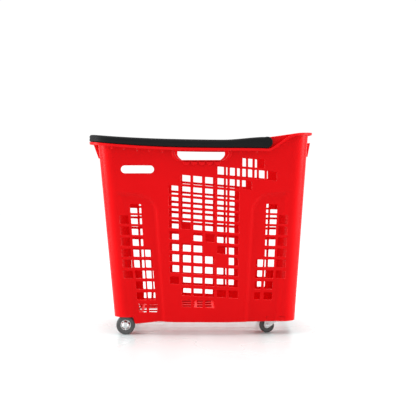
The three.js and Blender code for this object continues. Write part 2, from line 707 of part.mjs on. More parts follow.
for (const [side, direction] of [["left", 1], ["right", -1]]) {
  const rearY = direction * REAR.y;
  const rearHub = hub(REAR.hub, REAR.width, REAR.axle + 2.5 * GAP, SPOKES.count);
  addPiece(`rear_hub_${side}`, rearHub, greyPlastic, REAR.x, rearY, REAR.radius);
  const rearTyre = tyre(REAR.radius, REAR.hub, REAR.width);
  addPiece(`rear_tyre_${side}`, rearTyre, tyreRubber, REAR.x, rearY, REAR.radius);

  const y = direction * CASTER.y;
  const wheelX = CASTER.x - CASTER.trail;
  addPiece(`caster_plate_${side}`, casterPlate(), zincSteel, CASTER.x, y);
  addPiece(`caster_bearing_${side}`, casterBearing(), whitePlastic, CASTER.x, y);
  addPiece(`caster_kingpin_${side}`, kingpin(), zincSteel, CASTER.x, y);
  addPiece(`caster_fork_${side}`, casterFork(), greyPlastic, CASTER.x, y);
  addPiece(`caster_axle_${side}`, casterAxle(), zincSteel, wheelX, y, CASTER.radius);
  const casterHub = hub(CASTER.hub, CASTER.width, CASTER.axle + GAP, 0);
  addPiece(`caster_hub_${side}`, casterHub, greyPlastic, wheelX, y, CASTER.radius);
  const casterTyre = tyre(CASTER.radius, CASTER.hub, CASTER.width);
  addPiece(`caster_tyre_${side}`, casterTyre, tyreRubber, wheelX, y, CASTER.radius);
}

screwPlaces().forEach(([x, y], i) => {
  const side = y > 0 ? "left" : "right";
  addPiece(`caster_screw_${side}_${i % 4 + 1}`, screw(), zincSteel, x, y);
});

export default basket;
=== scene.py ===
"""The looks of a rolling shopping basket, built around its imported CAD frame.

Shapes are worked out in millimetres in the frame's own axes: +X towards the casters, +Z up,
left at +Y. make_object() turns them into metres.
"""
import math

import bmesh
import bpy
from mathutils import Matrix, Vector


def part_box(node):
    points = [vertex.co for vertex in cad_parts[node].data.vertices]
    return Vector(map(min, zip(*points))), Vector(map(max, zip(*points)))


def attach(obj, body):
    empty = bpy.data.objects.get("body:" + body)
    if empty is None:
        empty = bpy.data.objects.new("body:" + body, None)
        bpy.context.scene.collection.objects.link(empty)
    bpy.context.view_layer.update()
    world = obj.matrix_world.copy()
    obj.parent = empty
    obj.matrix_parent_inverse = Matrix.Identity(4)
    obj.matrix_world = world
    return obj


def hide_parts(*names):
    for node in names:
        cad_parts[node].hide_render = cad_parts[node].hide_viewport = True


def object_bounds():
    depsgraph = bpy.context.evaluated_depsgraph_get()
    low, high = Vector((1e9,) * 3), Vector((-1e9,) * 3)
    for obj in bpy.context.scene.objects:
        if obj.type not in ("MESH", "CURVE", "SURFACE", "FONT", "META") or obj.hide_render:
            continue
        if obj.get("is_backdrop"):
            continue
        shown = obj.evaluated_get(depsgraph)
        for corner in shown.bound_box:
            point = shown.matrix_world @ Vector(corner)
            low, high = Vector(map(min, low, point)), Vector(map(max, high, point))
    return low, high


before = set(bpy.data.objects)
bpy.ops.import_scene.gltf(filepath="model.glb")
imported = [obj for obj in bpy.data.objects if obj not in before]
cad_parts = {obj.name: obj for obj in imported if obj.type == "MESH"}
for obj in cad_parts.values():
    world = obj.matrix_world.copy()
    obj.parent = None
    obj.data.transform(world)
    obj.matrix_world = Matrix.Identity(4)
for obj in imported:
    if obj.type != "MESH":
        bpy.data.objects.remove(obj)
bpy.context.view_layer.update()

MM = 0.001

# ---------- driving dimensions, as the CAD has them ----------
WALL = 2.6
DATUM_Z = 381
REAR_X, FRONT_X, HALF_Y, CORNER = -230, 241, 168, 32
REAR_LEAN, FRONT_LEAN, SIDE_LEAN = 0.085, 0.062, 0.083
FLOOR_BOTTOM, FLOOR_TOP = 47, 50
FLANGE_REAR, FLANGE_FRONT, FLANGE_SIDE = 19.9, 9.1, 17.5
FLANGE_PLATE, FLANGE_SKIRT = 2.5, 6
LEDGE = [
    (-257, 446), (-180, 439.5), (-90, 434.2), (0, 432), (90, 431.4), (140, 431), (158, 431.4),
    (180, 445.5), (198, 458.2), (213, 464.5), (232, 466.5), (257, 467),
]
LIP = [
    (-257, 460.5), (-160, 453.5), (-60, 449.4), (40, 449), (120, 452.5), (165, 458), (203, 463.5),
    (225, 466.5), (257, 467.3),
]
SKIRT = [
    (-260, 41), (-156, 41), (-153, 25), (-98, 31), (-60, 29.5), (60, 29), (140, 31), (200, 31.5),
    (260, 32.3),
]

# Windows in the long walls
COLUMN_PITCH, FIRST_COLUMN_X, ROW_PITCH, FOURTH_ROW_Z = 28.4, -64, 26.05, 336.5
MIDDLE_ROWS = [
    (7, 8), (5, 6, 7, 8, 9), (2, 3, 4, 5, 6, 7), (1, 2, 3, 4, 5, 6), (1, 2, 3, 4, 5, 6),
    (1, 2, 3, 4, 5, 6), (1, 2, 3, 4, 5, 6), (1, 3, 4, 5, 6), (1, 2, 3, 5, 6), (1, 2, 3, 4, 6),
    (1, 2, 3, 4, 5, 6), (1, 2, 3, 4, 5, 6), (2, 3, 4, 5, 6), (2, 3, 4),
]
MIDDLE_X, ROW_SHRINK = 10, 0.004  # each row is this share narrower, drawn in towards this x
ROW_TILT, TILT_LOST = 0.09, 0.004  # how the first four rows slope, and what each row below loses
MIDDLE_WIDTH, MIDDLE_HEIGHT, HEIGHT_LOST = 22.5, 21, 0.3
SIDE_TILT = 0.03
# Top of the first row, pitch, height, height lost per row, and shift along x at the first and last row
SIDE_ROWS = (303.8, 25.6, 20.6, 0.4, (0, 0))
LEFT_REAR_ROWS = (308.6, 26.6, 21.2, 0.2, (4, 2))
# Centre x at the first and last row, width there, first and last row
SIDE_COLUMNS = [
    ((-175.8, -167.5), (20.5, 21), (2, 7)),
    ((-149, -137), (25, 22), (1, 9)),
    ((-120.5, -113.5), (15, 17), (5, 9)),
    ((134.5, 130), (17, 14), (6, 9)),
    ((162.5, 154.8), (25, 19.5), (1, 9)),
    ((189, 183.5), (20, 21), (2, 7)),
]
LOW_PAIR_X, LOW_PAIR_WIDTH, LOW_PAIR_Z, LOW_PAIR_LEAN = (-134.5, -110), 18.5, (53, 72), 0.05
END_COLUMNS, END_PITCH, END_WIDTH = 5, 36, 27
END_ROWS, END_TOP_Z, END_ROW_PITCH, END_HEIGHT = 7, 370, 40, 31
FLOOR_COLUMNS, FLOOR_ROWS, FLOOR_PITCH_X, FLOOR_PITCH_Y = 9, 5, 42, 48
FLOOR_HOLE_X, FLOOR_HOLE_Y, FLOOR_MIDDLE_X = 36, 38, 9
FLOOR_SOLID_X, FLOOR_SOLID_Y = 130, 60  # beyond both, over the wheels, the floor has no holes
WINDOW_CORNER, END_WINDOW_CORNER, FLOOR_WINDOW_CORNER = 1.2, 3, 4
END_WINDOW_SHRINK = 0.02

HAND_LEFT, HAND_RIGHT, HAND_TOP, HAND_BOTTOM = -59, 63, 428.5, 404.7
HAND_FRAME, HAND_FRAME_BELOW, HAND_PROUD = 7.5, 2, 4
HAND_CORNER_LENGTH, HAND_CORNER_HEIGHT, HAND_BEND_IN, HAND_BEND_UP = 12, 13.3, 3, 6.3
END_HAND_TOP, END_HAND_BOTTOM, END_HAND_HALF, END_HAND_FRAME = 437, 413, 54, 5
END_HAND_OUT_TOP, END_HAND_OUT_BOTTOM, END_HAND_CORNER = 10.5, 6, 5
RIB_Y, RIB_THICKNESS = 99, 4
# Top, bottom, and how far out a rib stands there
REAR_RIB, FRONT_RIB = (443, 408, 15.3, 5.7), (444, 412, 10.3, 6.3)
LABEL_X, LABEL_Z, LABEL_LENGTH, LABEL_HEIGHT, LABEL_THICKNESS = -144, 383.5, 75, 17.8, 0.8

HANDLE_WIDTH, HANDLE_REAR_DEPTH, HANDLE_DEPTH, HANDLE_Y, HANDLE_REAR_X = 14, 16, 18, 182.5, -248.5
HANDLE_CORNER, HANDLE_LIFT = 45, 1
PIVOT_X, PIVOT_Z, PIVOT_BOSS, PIN_BORE, PIN_REACH = 150, 445, 12.5, 5.3, 11

REAR_WHEEL_X, REAR_WHEEL_Y, REAR_RADIUS, REAR_WIDTH, REAR_HUB, REAR_AXLE = -174.5, 122, 22, 20, 12, 4
SPOKES, SPOKE_ANGLE, SPOKE_RIM, SPOKE_INSET, HUB_BOSS, HUB_INSET = 5, 0.35, 1.1, 2.25, 1.2, 1.2
LUG_YS, LUG_HALF, LUG_RADIUS, LUG_THICKNESS = (-104, -34, 34, 104), 16, 9, 6
CASTER_X, CASTER_Y, TRAIL, CASTER_RADIUS, CASTER_WIDTH, CASTER_HUB = 173, 98, 18, 17.5, 16, 7
CASTER_AXLE, CASTER_AXLE_BORE, KINGPIN, KINGPIN_BORE = 2.9, 3.2, 4, 4.3
PAD_LENGTH, PAD_WIDTH, PAD_BOTTOM = 50, 48, 42
PLATE_HALF_X, PLATE_HALF_Y, PLATE_THICKNESS, PLATE_CORNER = 23, 22, 2.8, 4
SCREW_X, SCREW_Y, SCREW_HOLE = 17, 16, 2.3
BEARING_THICKNESS, BEARING_RADIUS = 1.4, 11.5
BRIDGE_HALF, BRIDGE_THICKNESS, FORK_ROUND, LEG_WIDTH, LEG_GAP = 10, 2.6, 6, 2.3, 1.2
GAP = 0.3  # clearance between neighbouring pieces
PIVOT_MIDDLE, REAR_MIDDLE = (PIVOT_X, 0, PIVOT_Z), (REAR_WHEEL_X, 0, REAR_RADIUS)


# ---------- mesh helpers ----------
def add_object(name, data):
    added = bpy.data.objects.new(name, data)
    bpy.context.scene.collection.objects.link(added)
    return added


def make_object(name, vertices, faces):
    mesh = bpy.data.meshes.new(name)
    mesh.from_pydata([(x * MM, y * MM, z * MM) for x, y, z in vertices], [], faces)
    return add_object(name, mesh)


def tidy_mesh(piece, sharp_degrees=38):
    """Outward faces, smooth shading and sharp edges where faces meet at more than the angle."""
    mesh = piece.data
    work = bmesh.new()
    work.from_mesh(mesh)
    bmesh.ops.remove_doubles(work, verts=work.verts, dist=0.00001)
    bmesh.ops.dissolve_degenerate(work, edges=work.edges, dist=0.000005)
    bmesh.ops.recalc_face_normals(work, faces=work.faces)
    work.to_mesh(mesh)
    work.free()
    mesh.shade_smooth()
    mesh.set_sharp_from_angle(angle=math.radians(sharp_degrees))
    return piece


def solid(name, shape, sharp_degrees=38):
    """A tidy object from a shape's vertices and faces."""
    return tidy_mesh(make_object(name, *shape), sharp_degrees)


def remove(piece):
    mesh = piece.data
    bpy.data.objects.remove(piece)
    bpy.data.meshes.remove(mesh)


def bake_modifiers(piece):
    """Keeps what the piece's modifiers make, and drops the modifiers."""
    bpy.context.view_layer.update()
    shown = piece.evaluated_get(bpy.context.evaluated_depsgraph_get())
    made = bpy.data.meshes.new_from_object(shown)
    old = piece.data
    piece.modifiers.clear()
    piece.data = made
    bpy.data.meshes.remove(old)


def combine(piece, other, operation):
    """Joins other to the piece or cuts it away, and deletes other."""
    step = piece.modifiers.new("combine", "BOOLEAN")
    step.object = other
    step.operation = operation
    step.solver = "MANIFOLD"
    bake_modifiers(piece)
    remove(other)


def loft(rings):
    """Vertices and faces of a surface through rings of equal length, closed at both ends."""
    count = len(rings[0])
    vertices = [point for ring in rings for point in ring]
    faces = []
    for row in range(len(rings) - 1):
        for i in range(count):
            a, b = row * count + i, row * count + (i + 1) % count
            faces.append((a, b, b + count, a + count))
    faces.append(tuple(reversed(range(count))))
    faces.append(tuple(range((len(rings) - 1) * count, len(rings) * count)))
    return vertices, faces


def ring_loft(rings):
    """A surface through rings that close on themselves, the last ring joined to the first."""
    count = len(rings[0])
    total = len(rings) * count
    vertices = [point for ring in rings for point in ring]
    faces = []
    for row in range(len(rings)):
        for i in range(count):
            a, b = row * count + i, row * count + (i + 1) % count
            faces.append((a, b, (b + count) % total, (a + count) % total))
    return vertices, faces


def merged(parts):
    """Several (vertices, faces) as one."""
    vertices, faces = [], []
    for some_vertices, some_faces in parts:
        shift = len(vertices)
        vertices += some_vertices
        faces += [tuple(i + shift for i in face) for face in some_faces]
    return vertices, faces


def box_shape(x_range, y_range, z_range):
    corners = [(x, y) for x, y in zip(
        (x_range[0], x_range[1], x_range[1], x_range[0]),
        (y_range[0], y_range[0], y_range[1], y_range[1]),
    )]
    return loft([[(x, y, z) for x, y in corners] for z in z_range])


def turned(profile, middle, axis, steps=48, sign=1):
    """A solid of revolution. The profile is (distance along the axis, radius) and closes on itself,
    or starts and ends at radius 0. Sign -1 mirrors it along the axis."""
    has_ends = profile[0][1] == 0 and profile[-1][1] == 0
    used = profile[1:-1] if has_ends else profile
    rings = []
    for along, radius in used:
        ring = []
        for step in range(steps):
            angle = 2 * math.pi * step / steps
            u, v = radius * math.cos(angle), radius * math.sin(angle)
            x, y, z = middle
            out = sign * along
            ring.append((x + u, y + out, z + v) if axis == "Y" else (x + u, y + v, z + out))
        rings.append(ring)
    return loft(rings) if has_ends else ring_loft(rings)


def both_halves(profile):
    """A profile that stops short of the middle, followed by its mirror image."""
    return profile + [(-along, radius) for along, radius in profile[::-1]]


def round_bar(start, end, radius, middle, axis, steps=32):
    """A plain cylinder from start to end along the axis, to cut a bore with."""
    return turned([(start, 0), (start, radius), (end, radius), (end, 0)], middle, axis, steps)


def smoothstep(value, low, high):
    t = min(max((value - low) / (high - low), 0), 1)
    return t * t * (3 - 2 * t)


def lerp(a, b, t):
    return a + (b - a) * t


def bend(start, control, end, steps, first=0):
    """Points along a curve from start to end, drawn towards the control point."""
    return [
        tuple((1 - t) ** 2 * a + 2 * t * (1 - t) * b + t * t * c for a, b, c in zip(start, control, end))
        for t in (step / steps for step in range(first, steps + 1))
    ]


def segment(points, x):
    """x kept within the points, and the number of the last point before it."""
    x = min(max(x, points[0][0]), points[-1][0])
    return x, max(k for k in range(len(points) - 1) if points[k][0] <= x)


def height_on(points, x):
    """The height at x of a smooth line through the points."""
    x, i = segment(points, x)

    def slope(k):
        before, after = points[max(k - 1, 0)], points[min(k + 1, len(points) - 1)]
        return (after[1] - before[1]) / (after[0] - before[0])

    (x0, z0), (x1, z1) = points[i], points[i + 1]
    span = x1 - x0
    t = (x - x0) / span
    return (
        (2 * t**3 - 3 * t**2 + 1) * z0 + (t**3 - 2 * t**2 + t) * span * slope(i)
        + (3 * t**2 - 2 * t**3) * z1 + (t**3 - t**2) * span * slope(i + 1)
    )


def straight_height(points, x):
    x, i = segment(points, x)
    (x0, z0), (x1, z1) = points[i], points[i + 1]
    return lerp(z0, z1, (x - x0) / (x1 - x0))


# ---------- the tub's surface ----------
CORNER_STEPS = 10
LONG_STEPS = 116
END_STEPS = 40
HEIGHT_STEPS = 112
SKIRT_Z, LEDGE_Z, LIP_Z = 35, 450, 455  # heights at which x is read for those three lines
RIM_ROUND = 0.8
FLOOR_INSET = 1.2  # how far the floor runs into the walls
RECESS, RECESS_EDGE = 4.2, 6.5  # how far the corner panels of the long walls sit in, and over what width
ARCH_CORNER, ARCH_SLOPE = 43, 0.11
PANEL_FADE = 16  # the panels fade out over this way towards the tub's corners
# Height of a panel's top, and x of its edge at the top and the bottom of its leaning part
REAR_PANEL, FRONT_PANEL = (327, (-98, -82)), (329, (114, 102))
PANEL_LEAN_TOP, PANEL_LEAN_HEIGHT, PANEL_LEAN_ABOVE = 276, 246, -0.2


def rear_face(z):
    return REAR_X - REAR_LEAN * (z - DATUM_Z)


def front_face(z):
    return FRONT_X + FRONT_LEAN * (z - DATUM_Z)


def side_face(z):
    return HALF_Y + SIDE_LEAN * (z - DATUM_Z)


def corner_panel(inward_x, z, from_corner, top):
    """How deep a corner panel is: inward_x is negative inside it, from_corner the way to the tub's corner."""
    edge_x = inward_x + ARCH_CORNER
    edge_z = z - top - ARCH_SLOPE * max(-inward_x - ARCH_CORNER, 0) + ARCH_CORNER
    outside = math.hypot(max(edge_x, 0), max(edge_z, 0)) - ARCH_CORNER + min(max(edge_x, edge_z), 0)
    return RECESS * smoothstep(-outside, 0, RECESS_EDGE) * smoothstep(from_corner, 0, PANEL_FADE)


def wall_recess(x, z):
    """How far a long wall sits in from its flat face, mm."""
    down = min(max((PANEL_LEAN_TOP - z) / PANEL_LEAN_HEIGHT, PANEL_LEAN_ABOVE), 1)
    rear_top, rear_edge = REAR_PANEL
    front_top, front_edge = FRONT_PANEL
    rear = corner_panel(x - lerp(*rear_edge, down), z, x - rear_face(z) - CORNER, rear_top)
    front = corner_panel(lerp(*front_edge, down) - x, z, front_face(z) - CORNER - x, front_top)
    return max(rear, front)


def stations():
    """Places round the tub: (side, part), where side counts walls and corners and part runs 0 to 1."""
    walls = [("left", LONG_STEPS), ("rear_left", CORNER_STEPS), ("rear", END_STEPS),
             ("rear_right", CORNER_STEPS), ("right", LONG_STEPS), ("front_right", CORNER_STEPS),
             ("front", END_STEPS), ("front_left", CORNER_STEPS)]
    return [(wall, step / steps) for wall, steps in walls for step in range(steps)]


CORNER_START = {"rear_left": 90, "rear_right": 180, "front_right": 270, "front_left": 0}


def tub_point(station, z, rear=0.0, front=0.0, side=0.0, recessed=True):
    """A point of the tub's outline at height z, grown outward by the three amounts."""
    wall, part = station
    radius = CORNER + side
    left = rear_face(z) - rear + radius
    right = front_face(z) + front - radius
    half = side_face(z) + side - radius
    if wall in CORNER_START:
        angle = math.radians(CORNER_START[wall] + 90 * part)
        x = left if wall.startswith("rear") else right
        y = half if wall.endswith("left") else -half
        return (x + radius * math.cos(angle), y + radius * math.sin(angle), z)
    if wall in ("left", "right"):
        x = lerp(right, left, part) if wall == "left" else lerp(left, right, part)
        y = half + radius - (wall_recess(x, z) if recessed else 0)
        return (x, y if wall == "left" else -y, z)
    y = lerp(half, -half, part) if wall == "rear" else lerp(-half, half, part)
    return (left - radius if wall == "rear" else right + radius, y, z)


PLACES = stations()


def wall_heights(station):
    """Lowest and highest point of the wall at a station."""
    low = straight_height(SKIRT, tub_point(station, SKIRT_Z)[0])
    high = height_on(LIP, tub_point(station, LIP_Z)[0])
    return low, high


def tub_walls():
    """The side walls as one closed ring: up the outside, over a rounded edge and down the inside."""
    spans = [wall_heights(place) for place in PLACES]

    def ring(part, grow, drop):
        return [
            tub_point(place, lerp(low, high, part) - drop, grow, grow, grow)
            for place, (low, high) in zip(PLACES, spans)
        ]

    def face(grow):
        parts = [row / HEIGHT_STEPS for row in range(HEIGHT_STEPS + 1)]
        return [ring(part, grow, RIM_ROUND * (2 * part - 1)) for part in parts]

    over = [ring(1, -RIM_ROUND, 0), ring(1, RIM_ROUND - WALL, 0)]
    under = [ring(0, RIM_ROUND - WALL, 0), ring(0, -RIM_ROUND, 0)]
    return ring_loft(face(0) + over + face(-WALL)[::-1] + under)


def rim_ledge():
    """The ledge round the rim with its skirt, swept as one closed section."""
    flange = (FLANGE_REAR, FLANGE_FRONT, FLANGE_SIDE)

    def ring(inset, drop):
        """inset is measured from the ledge's outer edge, or None for inside the wall."""
        grow = [-WALL / 2] * 3
        if inset is not None:
            grow = [reach - inset for reach in flange]
        points = []
        for place in PLACES:
            z = height_on(LEDGE, tub_point(place, LEDGE_Z, *flange)[0]) - drop
            points.append(tub_point(place, z, *grow, recessed=False))
        return points

    skirt = FLANGE_SKIRT
    section = [
        (None, 0), (1.4, 0), (0.4, 0.35), (0, 1.2), (0, skirt - 0.5), (0.5, skirt), (1.7, skirt),
        (2.2, skirt - 0.5), (2.3, FLANGE_PLATE + 0.8), (3.2, FLANGE_PLATE), (None, FLANGE_PLATE),
    ]
    return ring_loft([ring(inset, drop) for inset, drop in section])


# ---------- windows ----------
def rounded_quad(corners, radius, grow, steps=4):
    """A four-sided outline, anticlockwise, with round corners, grown outward."""
    middle = (sum(c[0] for c in corners) / 4, sum(c[1] for c in corners) / 4)
    half_w = (corners[1][0] - corners[0][0] + corners[2][0] - corners[3][0]) / 4
    half_h = (corners[3][1] - corners[0][1] + corners[2][1] - corners[1][1]) / 4
    shear_x = (corners[3][0] + corners[2][0] - corners[0][0] - corners[1][0]) / 4 / half_h
    shear_z = (corners[1][1] + corners[2][1] - corners[0][1] - corners[3][1]) / 4 / half_w
    w, h, r = half_w + grow, half_h + grow, radius + grow
    outline = []
    for quarter, (sx, sz) in enumerate([(1, 1), (-1, 1), (-1, -1), (1, -1)]):
        for step in range(steps + 1):
            angle = math.radians(90 * (quarter + step / steps))
            u = sx * (w - r) + r * math.cos(angle)
            v = sz * (h - r) + r * math.sin(angle)
            outline.append((middle[0] + u + shear_x * v, middle[1] + v + shear_z * u))
    return outline


def side_window(x, z, width, height, tilt=0, lean=0):
    def corner(sx, sz):
        return (x + sx * width / 2 + lean * sz * height / 2, z + sz * height / 2 - tilt * sx * width / 2)

    return [corner(-1, -1), corner(1, -1), corner(1, 1), corner(-1, 1)]


def column_windows(column, rows):
    """One column of windows beside the middle."""
    xs, widths, (first, last) = column
    top_z, pitch, tall, shorter, shift = rows
    lean = (xs[0] - xs[1]) / (pitch * (last - first))
    windows = []
    for row in range(first, last + 1):
        part = (row - first) / (last - first)
        height = tall - shorter * (row - 1)
        z = top_z - pitch * (row - 1) - height / 2
        x = lerp(*xs, part) + lerp(*shift, part)
        windows.append(side_window(x, z, lerp(*widths, part), height, SIDE_TILT, lean))
    return windows


def side_windows(sign):
    """The windows of the left (sign 1) or right (sign -1) wall."""
    windows = []
    for row, columns in enumerate(MIDDLE_ROWS):
        down = row - 3
        shrink = 1 - ROW_SHRINK * (row + 1)
        tilt = ROW_TILT - TILT_LOST * max(down, 0)
        height = MIDDLE_HEIGHT - HEIGHT_LOST * row
        for column in columns:
            x = MIDDLE_X + (FIRST_COLUMN_X + COLUMN_PITCH * (column - 1) - MIDDLE_X) * shrink
            z = FOURTH_ROW_Z - ROW_PITCH * down - tilt * (x - FIRST_COLUMN_X)
            windows.append(side_window(x, z, MIDDLE_WIDTH * shrink, height, tilt))
    for column in SIDE_COLUMNS:
        behind_middle = column[0][0] < 0
        windows += column_windows(column, LEFT_REAR_ROWS if behind_middle and sign > 0 else SIDE_ROWS)
    bottom, top = LOW_PAIR_Z
    z, height = (bottom + top) / 2, top - bottom
    for x in LOW_PAIR_X:
        windows.append(side_window(x, z, LOW_PAIR_WIDTH, height, SIDE_TILT, LOW_PAIR_LEAN))
    return windows


CHAMFER = 0.7
CUT_START, CUT_DEPTH = 3, 6  # how far outside the face a cutter starts, and how far in it ends
FLOOR_CUT_PAST = 2  # how far a cutter for the floor reaches past it


def through_side(corners, radius, sign, flare=1, depth=CUT_DEPTH):
    """A cutter for a window in a long wall, that follows the wall and chamfers its outer edge.
    flare is the share of the chamfer the outline takes."""
    def ring(grow, inward):
        outline = rounded_quad(corners, radius, grow * flare)
        return [(x, sign * (side_face(z) - wall_recess(x, z) - inward), z) for x, z in outline]

    return loft([ring(CHAMFER + CUT_START, -CUT_START), ring(0, CHAMFER), ring(0, depth)])


def through_end(corners, face, outward):
    def ring(grow, inward):
        outline = rounded_quad(corners, END_WINDOW_CORNER, grow)
        return [(face(z) - outward * inward, y, z) for y, z in outline]

    return loft([ring(CHAMFER + CUT_START, -CUT_START), ring(0, CHAMFER), ring(0, CUT_DEPTH)])


def through_floor(corners):
    def ring(grow, z):
        return [(x, y, z) for x, y in rounded_quad(corners, FLOOR_WINDOW_CORNER, grow)]

    return loft([
        ring(0, FLOOR_BOTTOM - FLOOR_CUT_PAST),
        ring(0, FLOOR_TOP - CHAMFER),
        ring(CHAMFER + FLOOR_CUT_PAST, FLOOR_TOP + FLOOR_CUT_PAST),
    ])


def end_windows():
    windows = []
    for row in range(END_ROWS):
        z = END_TOP_Z - END_ROW_PITCH * row
        shrink = 1 - END_WINDOW_SHRINK * row
        for column in range(END_COLUMNS):
            y = (column - (END_COLUMNS - 1) / 2) * END_PITCH * shrink
            windows.append(side_window(y, z, END_WIDTH * shrink, END_HEIGHT))
    return windows


def floor_windows():
    windows = []
    for column in range(FLOOR_COLUMNS):
        x = FLOOR_MIDDLE_X + (column - (FLOOR_COLUMNS - 1) / 2) * FLOOR_PITCH_X
        for row in range(FLOOR_ROWS):
            y = (row - (FLOOR_ROWS - 1) / 2) * FLOOR_PITCH_Y
            if abs(x) <= FLOOR_SOLID_X or abs(y) <= FLOOR_SOLID_Y:
                windows.append(side_window(x, y, FLOOR_HOLE_X, FLOOR_HOLE_Y))
    return windows


def window_cutters():
    parts = []
    for sign in (-1, 1):
        parts += [through_side(corners, WINDOW_CORNER, sign) for corners in side_windows(sign)]
    for corners in end_windows():
        parts += [through_end(corners, rear_face, -1), through_end(corners, front_face, 1)]
    parts += [through_floor(corners) for corners in floor_windows()]
    return merged(parts)


# ---------- hand openings ----------
def hand_outline(grow, grow_below, steps=8):
    """The long walls' hand opening, anticlockwise from its upper right, with slanting lower corners."""
    top = HAND_TOP + min(grow, 1)
    low = HAND_BOTTOM - grow_below
    left_x, right_x = HAND_LEFT - grow, HAND_RIGHT + grow
    left = bend(
        (left_x, low + HAND_CORNER_HEIGHT), (left_x + HAND_BEND_IN, low + HAND_BEND_UP),
        (left_x + HAND_CORNER_LENGTH, low), steps,
    )
    right = bend(
        (right_x - HAND_CORNER_LENGTH, low), (right_x - HAND_BEND_IN, low + HAND_BEND_UP),
        (right_x, low + HAND_CORNER_HEIGHT), steps,
    )
    return [(right_x, top), (left_x, top), *left, *right]


def hand_loft(sign, profile):
    """A shape round a hand opening. The profile says how far each outline is grown, and how far out it is."""
    below = HAND_FRAME_BELOW / HAND_FRAME
    return loft([
        [(x, sign * (side_face(z) + out), z) for x, z in hand_outline(grow, grow * below)]
        for grow, out in profile
    ])


def hand_frame(sign):
    """A rounded bead beside a hand opening, which is narrow below it."""
    return hand_loft(sign, [
        (HAND_FRAME, -1.5), (HAND_FRAME, 1.2), (HAND_FRAME - 0.7, HAND_PROUD - 1),
        (HAND_FRAME - 2, HAND_PROUD), (HAND_FRAME - 5, HAND_PROUD), (0.5, HAND_PROUD - 1.6),
    ])


def hand_cutter(sign):
    return hand_loft(sign, [(3.4, HAND_PROUD + 4), (0.8, HAND_PROUD - 1.6), (0, 0), (0, -7)])


BUMPS, FIRST_BUMP_X, BUMP_PITCH, BUMP_Z, BUMP_FACE_Z = 5, -33, 17.75, 399.5, 398
BUMP_PROFILE = [(7.4, -1), (7.4, 2.4), (6.4, 4.4), (4, 5.2)]  # radius, and how far out it stands
BUMP_TOP, BUMP_SQUASH = 0.2, 0.95  # where a bump is cut flat, as a share of its radius, and how low it is


def finger_bumps(sign):
    """Bumps under the hand opening, half round and flat on top."""
    parts = []
    for number in range(BUMPS):
        x = FIRST_BUMP_X + BUMP_PITCH * number
        rings = []
        for radius, out in BUMP_PROFILE:
            y = sign * (side_face(BUMP_FACE_Z) + out)
            rings.append([
                (x + u, y, BUMP_Z + BUMP_SQUASH * min(v, BUMP_TOP * radius)) for u, v in circle(radius, 24)
            ])
        parts.append(loft(rings))
    return parts


def end_hand_outline(grow):
    middle_z = (END_HAND_TOP + END_HAND_BOTTOM) / 2
    corners = side_window(0, middle_z, 2 * END_HAND_HALF, END_HAND_TOP - END_HAND_BOTTOM)
    return rounded_quad(corners, END_HAND_CORNER, grow)


def end_hand_frame(face, outward):
    """A frame round the opening that stands out further at its top."""
    low, high = END_HAND_BOTTOM - END_HAND_FRAME, END_HAND_TOP + END_HAND_FRAME

    def ring(grow, out_share, out_more):
        points = []
        for y, z in end_hand_outline(grow):
            part = (z - low) / (high - low)
            out = lerp(END_HAND_OUT_BOTTOM, END_HAND_OUT_TOP, part) * out_share + out_more
            points.append((face(z) + outward * out, y, z))
        return points

    width, bevel = END_HAND_FRAME, 1.2
    return loft([
        ring(width, 0, -1), ring(width, 1, -bevel), ring(width - bevel, 1, 0), ring(bevel / 2, 1, 0),
    ])


def end_hand_cutter(face, outward):
    def ring(grow, out):
        return [(face(z) + outward * out, y, z) for y, z in end_hand_outline(grow)]

    return loft([ring(1.5, 16), ring(0, 2), ring(0, -7)])


def end_ribs(face, outward, rib):
    """Ribs beside an end hand opening, that stand out further at their top."""
    top, bottom, out_top, out_bottom = rib
    outline = [(face(bottom) - outward, bottom), (face(bottom) + outward * out_bottom, bottom),
               (face(top) + outward * out_top, top), (face(top) - outward, top)]
    half = RIB_THICKNESS / 2
    return [loft([[(x, y + side, z) for x, z in outline] for side in (-half, half)]) for y in (-RIB_Y, RIB_Y)]


GROOVE_DEPTH, GROOVE_CORNER, GROOVE_FLARE = 1.1, 0.4, 0.2
# Middle x and z, width and height of the grooves round a panel beside the caster
PANEL_GROOVES = [(173.2, 42.3, 44.4, 1.8), (151.9, 38.6, 1.8, 6), (194.5, 38.6, 1.8, 6)]


def panel_grooves():
    """A shallow groove round three sides of a panel in each long wall, beside the caster."""
    parts = []
    for x, z, width, height in PANEL_GROOVES:
        corners = side_window(x, z, width, height)
        for sign in (-1, 1):
            parts.append(through_side(corners, GROOVE_CORNER, sign, GROOVE_FLARE, GROOVE_DEPTH))
    return parts


# ---------- under the floor ----------
def floor_plate():
    grow = [-FLOOR_INSET] * 3
    return loft([[tub_point(place, z, *grow) for place in PLACES] for z in (FLOOR_BOTTOM, FLOOR_TOP)])


def axle_lug(y):
    outline = [(REAR_WHEEL_X + LUG_HALF, FLOOR_BOTTOM + 1), (REAR_WHEEL_X - LUG_HALF, FLOOR_BOTTOM + 1)]
    outline += circle(LUG_RADIUS, 16, (REAR_WHEEL_X, REAR_RADIUS), math.pi, 2 * math.pi)
    half = LUG_THICKNESS / 2
    return loft([[(x, side, z) for x, z in outline] for side in (y - half, y + half)])


def under_parts():
    parts = [axle_lug(y) for y in LUG_YS]
    for sign in (-1, 1):
        middle = sign * CASTER_Y
        parts.append(box_shape(
            (CASTER_X - PAD_LENGTH / 2, CASTER_X + PAD_LENGTH / 2),
            (middle - PAD_WIDTH / 2, middle + PAD_WIDTH / 2),
            (PAD_BOTTOM, FLOOR_BOTTOM + 1),
        ))
    return parts


SLOT_XS = [-202.6, -174.4, -145.4, -116.8, -88.2, 90.8, 126.9]
SLOT_WIDTH, SLOT_HEIGHT, SLOT_BELOW_SKIRT, SLOT_CORNER, SLOT_FLARE = 3.6, 5, 2.9, 1, 0.3


